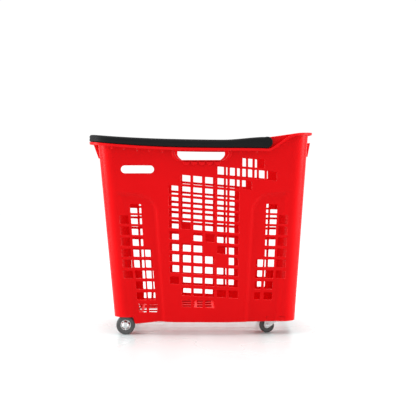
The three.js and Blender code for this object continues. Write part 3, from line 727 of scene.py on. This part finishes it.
def drain_slots():
    """Small slots in the long walls, in a row just under the ledge."""
    parts = []
    for x in SLOT_XS:
        z = height_on(LEDGE, x) - FLANGE_SKIRT - SLOT_BELOW_SKIRT
        corners = side_window(x, z, SLOT_WIDTH, SLOT_HEIGHT)
        parts += [through_side(corners, SLOT_CORNER, sign, SLOT_FLARE) for sign in (-1, 1)]
    return merged(parts)


def basket_body():
    body = solid("basket_shell", tub_walls())
    additions = [rim_ledge(), floor_plate()]
    additions += [hand_frame(sign) for sign in (-1, 1)]
    for sign in (-1, 1):
        additions += finger_bumps(sign)
    additions += [end_hand_frame(rear_face, -1), end_hand_frame(front_face, 1)]
    additions += end_ribs(rear_face, -1, REAR_RIB) + end_ribs(front_face, 1, FRONT_RIB)
    additions += under_parts()
    for shape in additions:
        combine(body, solid("addition", shape), "UNION")
    cuts = [window_cutters(), drain_slots()]
    cuts.append(merged([hand_cutter(-1), hand_cutter(1)]))
    cuts.append(merged([end_hand_cutter(rear_face, -1), end_hand_cutter(front_face, 1)]))
    past_lugs, past_walls = 140, 200
    cuts.append(round_bar(-past_lugs, past_lugs, REAR_AXLE + GAP, REAR_MIDDLE, "Y", 24))
    cuts.append(round_bar(-past_walls, past_walls, PIN_BORE, PIVOT_MIDDLE, "Y", 24))
    cuts += panel_grooves()
    for shape in cuts:
        combine(body, solid("cutter", shape), "DIFFERENCE")
    return tidy_mesh(body)


# ---------- the pull handle ----------
def handle_half_depth(x):
    arm = lerp(HANDLE_REAR_DEPTH / 2, HANDLE_DEPTH / 2, smoothstep(x, HANDLE_REAR_X, -HANDLE_CORNER))
    return lerp(arm, PIVOT_BOSS, smoothstep(x, PIVOT_X - 100, PIVOT_X))


def handle_route(arm_steps=60, turn_steps=18, bar_steps=24):
    """Points in plan from the right pin, round the rear end, to the left pin, with the way across."""
    inner_x = HANDLE_REAR_X + HANDLE_CORNER
    straight = HANDLE_Y - HANDLE_CORNER
    route = [(lerp(PIVOT_X, inner_x, step / arm_steps), -HANDLE_Y, (0, -1)) for step in range(arm_steps)]
    for step in range(turn_steps):
        angle = math.pi / 2 * step / turn_steps
        out = (-math.sin(angle), -math.cos(angle))
        route.append((inner_x + HANDLE_CORNER * out[0], -straight + HANDLE_CORNER * out[1], out))
    for step in range(bar_steps):
        route.append((HANDLE_REAR_X, lerp(-straight, straight, step / bar_steps), (-1, 0)))
    mirrored = [(x, -y, (out[0], -out[1])) for x, y, out in route[:arm_steps + turn_steps]]
    route.append((HANDLE_REAR_X, straight, (-1, 0)))
    return route + mirrored[::-1]


def handle_section(half_depth, corner_steps=4):
    """A box with rounded edges, rounder at the top, and a shallow groove along its outer face."""
    half_width = HANDLE_WIDTH / 2
    section = []
    top_round, low_round = 5, 3
    corners = [(1, 1, top_round), (-1, 1, top_round), (-1, -1, low_round), (1, -1, low_round)]
    for quarter, (su, sv, radius) in enumerate(corners):
        for step in range(corner_steps + 1):
            angle = math.radians(90 * (quarter + step / corner_steps))
            section.append((
                su * (half_width - radius) + radius * math.cos(angle),
                sv * (half_depth - radius) + radius * math.sin(angle),
            ))
    groove, slope, margin, share = 0.5, 0.8, 5.2, 0.72
    edge = (half_depth - margin) * share
    section += [(half_width, -edge), (half_width - groove, -edge + slope)]
    section += [(half_width - groove, edge - slope), (half_width, edge)]
    return section


def pull_handle():
    rings = []
    for x, y, (out_x, out_y) in handle_route():
        middle_z = height_on(LEDGE, x) + HANDLE_LIFT + handle_half_depth(x)
        rings.append([
            (x + out_x * out, y + out_y * out, middle_z + up)
            for out, up in handle_section(handle_half_depth(x))
        ])
    handle = solid("pull_handle_grip", loft(rings))
    inner, outer = HANDLE_Y - HANDLE_WIDTH / 2, HANDLE_Y + HANDLE_WIDTH / 2
    edge = 2.6
    for sign in (-1, 1):
        half_round = [(outer - edge * (1 - math.sin(a)), PIVOT_BOSS - edge * (1 - math.cos(a)))
                      for a in (math.pi / 2 * step / 5 for step in range(6))]
        profile = [(inner, 0), (inner, PIVOT_BOSS - 1), (inner + 1, PIVOT_BOSS), *half_round, (outer, 0)]
        boss = turned(profile, PIVOT_MIDDLE, "Y", 64, sign)
        combine(handle, solid("boss", boss), "UNION")
        bore = round_bar(sign * (inner - 2), sign * (inner + PIN_REACH), PIN_BORE, PIVOT_MIDDLE, "Y")
        combine(handle, solid("bore", bore), "DIFFERENCE")
    return tidy_mesh(handle)


# ---------- turned and flat small parts ----------
def outline_solid(name, loops, depth, bevel):
    """A flat part from outlines, the first outside and the rest holes, with rounded edges.
    It lies in x and z, and is depth thick along y, centred on y = 0."""
    curve = bpy.data.curves.new(name, "CURVE")
    curve.dimensions = "2D"
    curve.fill_mode = "BOTH"
    curve.extrude = (depth / 2 - bevel) * MM
    curve.bevel_depth = bevel * MM
    curve.bevel_resolution = 2
    curve.offset = -bevel * MM
    for loop in loops:
        spline = curve.splines.new("POLY")
        spline.points.add(len(loop) - 1)
        spline.use_cyclic_u = True
        for point, (u, v) in zip(spline.points, loop):
            point.co = (u * MM, v * MM, 0, 1)
    source = add_object(name, curve)
    bpy.context.view_layer.update()
    mesh = bpy.data.meshes.new_from_object(source.evaluated_get(bpy.context.evaluated_depsgraph_get()))
    bpy.data.objects.remove(source)
    bpy.data.curves.remove(curve)
    for vertex in mesh.vertices:
        x, z, y = vertex.co
        vertex.co = (x, -y, z)
    return tidy_mesh(add_object(name, mesh))


def moved(piece, x, y, z):
    piece.data.transform(Matrix.Translation((x * MM, y * MM, z * MM)))
    return piece


def circle(radius, steps, middle=(0, 0), start=0.0, end=2 * math.pi):
    whole = end - start > 6.2  # a full turn doesn't repeat its first point
    count = steps if whole else steps + 1
    return [
        (middle[0] + radius * math.cos(start + (end - start) * i / steps),
         middle[1] + radius * math.sin(start + (end - start) * i / steps))
        for i in range(count)
    ]


def tyre(name, x, y, z, radius, hub, width):
    """A tyre with round shoulders and a narrow groove round the middle of its tread."""
    half = width / 2
    inner = hub + GAP
    shoulder, crown = 3.4, 0.25
    profile = [(-half + 1, inner), (-half, inner + 1.2), (-half, radius - 4.2)]
    profile += circle(shoulder, 6, (shoulder - half, radius - shoulder - crown), math.pi, math.pi / 2)
    groove, groove_floor, groove_depth = 0.9, 0.6, 0.7
    profile += [(-groove, radius - 0.02), (-groove_floor, radius - groove_depth)]
    return solid(name, turned(both_halves(profile), (x, y, z), "Y", 72), 30)


def spoked_hub(name, x, y, z, radius, width, bore):
    """A wheel centre with spokes, one of which points down."""
    loops = [circle(radius, 72)]
    turn = 2 * math.pi / SPOKES
    for number in range(SPOKES):
        start = number * turn - math.pi / 2 + SPOKE_ANGLE / 2
        end = start + turn - SPOKE_ANGLE
        outer = circle(radius - SPOKE_RIM, 14, start=start, end=end)
        inner = circle(bore + HUB_BOSS, 8, start=start, end=end)
        loops.append(outer + inner[::-1])
    hub = moved(outline_solid(name, loops, width - 2 * SPOKE_INSET, 0.3), x, y, z)
    half, bevel = width / 2 - HUB_INSET, 0.5
    boss = both_halves([(-half, 0), (-half, bore + HUB_BOSS - bevel), (bevel - half, bore + HUB_BOSS)])
    combine(hub, solid("boss", turned(boss, (x, y, z), "Y", 40)), "UNION")
    hole = round_bar(-width, width, bore, (x, y, z), "Y", 40)
    combine(hub, solid("hole", hole), "DIFFERENCE")
    return tidy_mesh(hub)


def disc_hub(name, x, y, z, radius, width, bore):
    half = width / 2 - HUB_INSET
    profile = [(-half, bore), (-half, bore + 1.2), (-half + 0.6, bore + 1.6), (-half + 0.6, radius - 1.2),
               (-half, radius - 0.8), (-half, radius - 0.3), (-half + 0.3, radius)]
    return solid(name, turned(both_halves(profile), (x, y, z), "Y", 64))


def rear_axle():
    end, bevel = REAR_WHEEL_Y + REAR_WIDTH / 2 + 2.8, 0.6
    profile = both_halves([(-end, 0), (-end, REAR_AXLE - bevel), (bevel - end, REAR_AXLE)])
    return solid("rear_axle_rod", turned(profile, REAR_MIDDLE, "Y", 40))


def axle_cap(side, sign):
    start = REAR_WHEEL_Y + REAR_WIDTH / 2 + 0.4
    outer, bore = REAR_AXLE + 3, REAR_AXLE + GAP
    profile = [
        (start, bore), (start, outer - 0.5), (start + 0.5, outer), (start + 2, outer),
        (start + 3.2, outer - 1), (start + 4, outer - 3), (start + 4, 0.01), (start + 2.9, 0.01),
        (start + 2.9, bore),
    ]
    shape = turned(profile, REAR_MIDDLE, "Y", 48, sign)
    return solid(f"axle_cap_{side}", shape)


PLATE_BOTTOM = PAD_BOTTOM - GAP - PLATE_THICKNESS
BEARING_BOTTOM = PLATE_BOTTOM - GAP - BEARING_THICKNESS
BRIDGE_TOP = BEARING_BOTTOM - GAP
BRIDGE_BOTTOM = BRIDGE_TOP - BRIDGE_THICKNESS


def caster_fork(side, y):
    """Two legs either side of the wheel, joined by a bridge that the kingpin goes through."""
    inner = CASTER_WIDTH / 2 + LEG_GAP
    axle = (-TRAIL, CASTER_RADIUS)
    back = -TRAIL - FORK_ROUND
    outline = [(BRIDGE_HALF, BRIDGE_TOP), (-TRAIL, BRIDGE_TOP)]
    outline += bend((-TRAIL, BRIDGE_TOP), (back, BRIDGE_TOP), (back, CASTER_RADIUS), 8, first=1)
    outline += circle(FORK_ROUND, 16, axle, math.pi, 1.75 * math.pi)[1:]
    outline += bend(outline[-1], (-2, CASTER_RADIUS + 3), (BRIDGE_HALF, BRIDGE_BOTTOM - 1), 8, first=1)
    hole = circle(CASTER_AXLE_BORE, 24, axle)
    edge = 0.4
    reach = inner + LEG_WIDTH - 0.9  # the bridge ends inside the legs
    bridge = box_shape(
        (CASTER_X - BRIDGE_HALF, CASTER_X + BRIDGE_HALF - edge), (y - reach, y + reach),
        (BRIDGE_BOTTOM, BRIDGE_TOP),
    )
    fork = solid(f"fork_{side}", bridge)
    for sign in (-1, 1):
        leg = outline_solid("leg", [outline, hole], LEG_WIDTH, edge)
        combine(fork, moved(leg, CASTER_X, y + sign * (inner + LEG_WIDTH / 2), 0), "UNION")
    kingpin_hole = round_bar(BRIDGE_BOTTOM - 9, BRIDGE_TOP + 9, KINGPIN_BORE, (CASTER_X, y, 0), "Z")
    combine(fork, solid("hole", kingpin_hole), "DIFFERENCE")
    return tidy_mesh(fork)


def screw_piece(name, x, y):
    """A pan-head screw with a cross recess, head down."""
    under = PLATE_BOTTOM - GAP
    profile = [(under - 1.6, 0), (under - 1.6, 2.4), (under - 1.25, 3.4), (under - 0.5, 4), (under, 4),
               (under, 2), (under + 6, 2), (under + 6.5, 1.4), (under + 6.5, 0)]
    screw = solid(name, turned(profile, (x, y, 0), "Z", 32))
    for size_x, size_y in ((2.2, 0.4), (0.4, 2.2)):
        slot = box_shape((x - size_x, x + size_x), (y - size_y, y + size_y), (under - 3, under - 0.8))
        combine(screw, solid("slot", slot), "DIFFERENCE")
    return tidy_mesh(screw)


def caster_plate(side, y):
    corners = side_window(0, 0, 2 * PLATE_HALF_X, 2 * PLATE_HALF_Y)
    levels = [(PLATE_BOTTOM, -0.5), (PLATE_BOTTOM + 0.4, 0), (PLATE_BOTTOM + PLATE_THICKNESS, 0)]
    rings = [[(CASTER_X + u, y + v, z) for u, v in rounded_quad(corners, PLATE_CORNER, grow)]
             for z, grow in levels]
    plate = solid(f"swivel_plate_{side}", loft(rings))
    holes = [round_bar(-9, 9, KINGPIN_BORE, (CASTER_X, y, PLATE_BOTTOM), "Z")]
    for sx in (-1, 1):
        for sy in (-1, 1):
            middle = (CASTER_X + SCREW_X * sx, y + SCREW_Y * sy, PLATE_BOTTOM)
            holes.append(round_bar(-9, 9, SCREW_HOLE, middle, "Z", 20))
    combine(plate, solid("holes", merged(holes)), "DIFFERENCE")
    return tidy_mesh(plate)


def caster_small_parts(side, y):
    """The swivel's bearing ring, and the kingpin and wheel axle with their rounded heads."""
    top, edge = BEARING_BOTTOM + BEARING_THICKNESS, BEARING_RADIUS - 0.5
    bearing = [
        (BEARING_BOTTOM, KINGPIN_BORE), (BEARING_BOTTOM, edge), (BEARING_BOTTOM + 0.4, BEARING_RADIUS),
        (top - 0.4, BEARING_RADIUS), (top, edge), (top, KINGPIN_BORE),
    ]
    head_top = BRIDGE_BOTTOM - GAP
    pin = [
        (head_top - 1.8, 0), (head_top - 1.8, 4.6), (head_top - 1.3, 6.2), (head_top - 0.6, 7), (head_top, 7),
        (head_top, KINGPIN), (PAD_BOTTOM - GAP, KINGPIN), (PAD_BOTTOM - GAP, 0),
    ]
    outer = CASTER_WIDTH / 2 + LEG_GAP + LEG_WIDTH + GAP
    axle = both_halves([
        (-outer - 1.5, 0), (-outer - 1.5, 3.6), (-outer - 0.9, 4.7), (-outer, 4.7), (-outer, CASTER_AXLE),
    ])
    swivel, wheel = (CASTER_X, y, 0), (CASTER_X - TRAIL, y, CASTER_RADIUS)
    return {
        "bearing": solid(f"swivel_bearing_{side}", turned(bearing, swivel, "Z")),
        "kingpin": solid(f"kingpin_{side}", turned(pin, swivel, "Z")),
        "axle": solid(f"small_axle_{side}", turned(axle, wheel, "Y")),
    }


def pivot_pin(side, sign):
    """A pin with a rounded head inside the tub, that reaches into the handle's boss."""
    head, shaft = 9, PIN_BORE - GAP
    face = side_face(PIVOT_Z + head) - 3 - 2 * SIDE_LEAN * head - GAP
    tip = HANDLE_Y - HANDLE_WIDTH / 2 + PIN_REACH - GAP - 0.5
    profile = [
        (face - 3, 0), (face - 3, head - 1.6), (face - 2.5, head - 0.6), (face - 1.6, head), (face, head),
        (face, shaft), (tip - 0.8, shaft), (tip, shaft - 0.8), (tip, 0),
    ]
    shape = turned(profile, PIVOT_MIDDLE, "Y", 48, sign)
    return solid(f"pivot_stud_{side}", shape)


def label(side, sign):
    """The blank white label, with softly rounded edges, on the long wall's flat face."""
    reach = LABEL_HEIGHT / 2
    straight = LABEL_LENGTH / 2 - reach
    slope = math.atan(SIDE_LEAN)

    def ring(shrink, out):
        points = []
        for u, v in (circle(reach - shrink, 20, (straight, 0), -math.pi / 2, math.pi / 2)
                     + circle(reach - shrink, 20, (-straight, 0), math.pi / 2, 1.5 * math.pi)):
            z = LABEL_Z + v * math.cos(slope) - out * math.sin(slope)
            y = side_face(LABEL_Z) + v * math.sin(slope) + out * math.cos(slope)
            points.append((LABEL_X + u, sign * y, z))
        return points

    thick = GAP + LABEL_THICKNESS
    rings = [ring(0, GAP), ring(0, thick - 0.25), ring(0.12, thick - 0.07), ring(0.4, thick)]
    return solid(f"blank_label_{side}", loft(rings), 60)


# ---------- materials ----------
def new_material(name):
    material = bpy.data.materials.new(name)
    material.use_nodes = True
    nodes = material.node_tree.nodes
    return material, nodes, material.node_tree.links, nodes["Principled BSDF"]


def noise_node(nodes, links, scale, detail=3.0, roughness=0.55, stretch=(1, 1, 1)):
    place = nodes.new("ShaderNodeTexCoord")
    mapping = nodes.new("ShaderNodeMapping")
    mapping.inputs["Scale"].default_value = stretch
    noise = nodes.new("ShaderNodeTexNoise")
    noise.inputs["Scale"].default_value = scale
    noise.inputs["Detail"].default_value = detail
    noise.inputs["Roughness"].default_value = roughness
    links.new(place.outputs["Object"], mapping.inputs["Vector"])
    links.new(mapping.outputs["Vector"], noise.inputs["Vector"])
    return noise


def ramp_node(nodes, links, source, low, high, from_low=0.3, from_high=0.7):
    ramp = nodes.new("ShaderNodeMapRange")
    ramp.inputs["From Min"].default_value = from_low
    ramp.inputs["From Max"].default_value = from_high
    ramp.inputs["To Min"].default_value = low
    ramp.inputs["To Max"].default_value = high
    links.new(source, ramp.inputs["Value"])
    return ramp.outputs["Result"]


def mottled(nodes, links, noise, first, second):
    """Two colours mixed by the noise."""
    factor = ramp_node(nodes, links, noise.outputs["Fac"], 0, 1)
    mix = nodes.new("ShaderNodeMix")
    mix.data_type = "RGBA"
    mix.inputs["A"].default_value = (*first, 1)
    mix.inputs["B"].default_value = (*second, 1)
    links.new(factor, mix.inputs["Factor"])
    return mix.outputs["Result"]


def bump_node(nodes, links, shader, height, strength, distance):
    bump = nodes.new("ShaderNodeBump")
    bump.inputs["Strength"].default_value = strength
    bump.inputs["Distance"].default_value = distance
    links.new(height, bump.inputs["Height"])
    links.new(bump.outputs["Normal"], shader.inputs["Normal"])


def worn_edges(nodes, links, colour, worn, amount):
    """Lightens the colour along convex edges."""
    geometry = nodes.new("ShaderNodeNewGeometry")
    edge = ramp_node(nodes, links, geometry.outputs["Pointiness"], 0, amount, 0.52, 0.6)
    mix = nodes.new("ShaderNodeMix")
    mix.data_type = "RGBA"
    mix.inputs["B"].default_value = (*worn, 1)
    links.new(edge, mix.inputs["Factor"])
    links.new(colour, mix.inputs["A"])
    return mix.outputs["Result"]


def moulded_plastic(name, colour, deep, worn, roughness, grain_depth=0.05, shine=0.5):
    """Moulded plastic: slow colour variation, fine spark-eroded grain, and paler scuffed edges."""
    material, nodes, links, shader = new_material(name)
    shader.inputs["Specular IOR Level"].default_value = shine
    slow = noise_node(nodes, links, 9, 2)
    tone = mottled(nodes, links, slow, colour, deep)
    links.new(worn_edges(nodes, links, tone, worn, 0.25), shader.inputs["Base Color"])
    smears = noise_node(nodes, links, 34, 5, 0.62, (1, 1, 0.35))
    links.new(
        ramp_node(nodes, links, smears.outputs["Fac"], roughness - 0.05, roughness + 0.07),
        shader.inputs["Roughness"],
    )
    fine = noise_node(nodes, links, 2600, 2)
    bump_node(nodes, links, shader, fine.outputs["Fac"], 0.25, grain_depth * MM)
    return material


def plain_surface(name, slow, colours, roughness, grain=None, bump=None, worn=None, metallic=0):
    """Colour and roughness follow one slow noise, and the bump a finer grain where one is given."""
    material, nodes, links, shader = new_material(name)
    shader.inputs["Metallic"].default_value = metallic
    noise = noise_node(nodes, links, *slow)
    tone = mottled(nodes, links, noise, *colours)
    if worn:
        tone = worn_edges(nodes, links, tone, *worn)
    links.new(tone, shader.inputs["Base Color"])
    links.new(ramp_node(nodes, links, noise.outputs["Fac"], *roughness), shader.inputs["Roughness"])
    if bump:
        fine = noise_node(nodes, links, *grain) if grain else noise
        bump_node(nodes, links, shader, fine.outputs["Fac"], *bump)
    return material


red = moulded_plastic(
    "red polypropylene", (0.64, 0.0012, 0.003), (0.61, 0.001, 0.0025), (0.85, 0.03, 0.035), 0.34, shine=0.07,
)
black = moulded_plastic(
    "black handle plastic", (0.007, 0.007, 0.0075), (0.010, 0.010, 0.0105), (0.03, 0.03, 0.03), 0.5,
    grain_depth=0.08, shine=0.07,
)
grey = moulded_plastic(
    "light grey nylon", (0.84, 0.84, 0.835), (0.79, 0.79, 0.785), (0.88, 0.88, 0.875), 0.42,
)
white = plain_surface(
    "white print film", (60, 3), ((0.93, 0.93, 0.925), (0.87, 0.87, 0.86)), (0.3, 0.42),
    grain=(1500, 2), bump=(0.15, 0.02 * MM),
)
tread = plain_surface(
    "dark grey rubber", (120, 4), ((0.045, 0.045, 0.046), (0.085, 0.083, 0.08)), (0.6, 0.8),
    grain=(1800, 3), bump=(0.4, 0.08 * MM), worn=((0.16, 0.155, 0.15), 0.4),
)
zinc = plain_surface(
    "zinc plated steel", (420, 2, 0.5, (1, 0.3, 1)), ((0.55, 0.56, 0.58), (0.72, 0.72, 0.71)), (0.24, 0.42),
    bump=(0.3, 0.03 * MM), metallic=1,
)


# ---------- pieces on their bodies ----------
def place_piece(piece, body, material, slot, *nodes):
    piece.data.materials.clear()
    piece.data.materials.append(material)
    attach(piece, body)
    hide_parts(*nodes)


place_piece(basket_body(), "basket", red, "red_plastic", "basket_body")
place_piece(pull_handle(), "handle", black, "black_plastic", "pull_handle")
place_piece(rear_axle(), "basket", zinc, "zinc_steel", "rear_axle")

for side, sign in (("left", 1), ("right", -1)):
    place_piece(label(side, sign), "basket", white, "white_plastic", f"label_plate_{side}")
    place_piece(pivot_pin(side, sign), "basket", red, "red_plastic", f"handle_pivot_pin_{side}")
    place_piece(axle_cap(side, sign), "basket", zinc, "zinc_steel", f"rear_axle_cap_{side}")

    wheel = (REAR_WHEEL_X, sign * REAR_WHEEL_Y, REAR_RADIUS)
    hub = spoked_hub(f"spoked_hub_{side}", *wheel, REAR_HUB, REAR_WIDTH, REAR_AXLE + 2.5 * GAP)
    place_piece(hub, f"rear_wheel_{side}", grey, "grey_plastic", f"rear_hub_{side}")
    rear_tyre = tyre(f"wheel_tyre_{side}", *wheel, REAR_RADIUS, REAR_HUB, REAR_WIDTH)
    place_piece(rear_tyre, f"rear_wheel_{side}", tread, "tyre_rubber", f"rear_tyre_{side}")

    y = sign * CASTER_Y
    swivel, roller = f"caster_swivel_{side}", f"caster_wheel_{side}"
    small = caster_small_parts(side, y)
    place_piece(caster_plate(side, y), "basket", zinc, "zinc_steel", f"caster_plate_{side}")
    place_piece(small["bearing"], "basket", white, "white_plastic", f"caster_bearing_{side}")
    place_piece(small["kingpin"], "basket", zinc, "zinc_steel", f"caster_kingpin_{side}")
    place_piece(small["axle"], swivel, zinc, "zinc_steel", f"caster_axle_{side}")
    place_piece(caster_fork(side, y), swivel, grey, "grey_plastic", f"caster_fork_{side}")
    small_wheel = (CASTER_X - TRAIL, y, CASTER_RADIUS)
    hub = disc_hub(f"disc_hub_{side}", *small_wheel, CASTER_HUB, CASTER_WIDTH, CASTER_AXLE_BORE)
    place_piece(hub, roller, grey, "grey_plastic", f"caster_hub_{side}")
    small_tyre = tyre(f"small_tyre_{side}", *small_wheel, CASTER_RADIUS, CASTER_HUB, CASTER_WIDTH)
    place_piece(small_tyre, roller, tread, "tyre_rubber", f"caster_tyre_{side}")
    for number in range(4):
        node = f"caster_screw_{side}_{number + 1}"
        low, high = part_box(node)
        middle = (low + high) / 2 / MM
        screw = screw_piece(f"pan_head_{side}_{number + 1}", middle.x, middle.y)
        place_piece(screw, "basket", zinc, "zinc_steel", node)


# ---------- floor, light and camera ----------
def studio_floor():
    bpy.ops.mesh.primitive_plane_add(size=30)
    floor = bpy.context.object
    floor.name = "studio_floor"
    colours = ((0.55, 0.62, 0.62), (0.54, 0.61, 0.61))
    floor.data.materials.append(plain_surface("pale studio floor", (3, 2), colours, (0.24, 0.3)))
    floor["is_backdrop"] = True


def area_light(name, place, target, size, power):
    data = bpy.data.lights.new(name, "AREA")
    data.shape = "RECTANGLE"
    data.size, data.size_y = size
    data.energy = power
    lamp = add_object(name, data)
    lamp.location = place
    lamp.rotation_euler = (Vector(target) - Vector(place)).to_track_quat("-Z", "Y").to_euler()


def studio_light():
    world = bpy.data.worlds.new("white studio")
    bpy.context.scene.world = world
    world.use_nodes = True
    world.node_tree.nodes["Background"].inputs["Color"].default_value = (1, 1, 1, 1)
    world.node_tree.nodes["Background"].inputs["Strength"].default_value = 1.05
    middle = (0, 0, 0.24)
    area_light("left softbox", (-2.2, -0.25, 0.6), middle, (1.0, 1.6), 58)
    area_light("right softbox", (2.2, -0.25, 0.6), middle, (1.0, 1.6), 50)
    overhead = bpy.data.lights.new("wide overhead light", "SUN")
    overhead.energy = 2.7
    overhead.angle = math.radians(50)
    add_object("wide overhead light", overhead)


FOCAL_WIDTHS = 1132.5 / 416  # focal length over sensor width
EYE = Vector((-0.010, -2.746, 0.402))
AIM = Vector((11.5 / 1128, 1, -0.04137))  # the middle of the frame is a little right of and under the eye


def studio_camera():
    data = bpy.data.cameras.new("camera")
    data.sensor_width = 36
    data.lens = FOCAL_WIDTHS * data.sensor_width
    camera = add_object("camera", data)
    camera.location = EYE
    camera.rotation_euler = AIM.to_track_quat("-Z", "Y").to_euler()
    bpy.context.scene.camera = camera


bpy.context.scene.view_settings.view_transform = "Standard"
studio_floor()
studio_light()
studio_camera()

low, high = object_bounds()
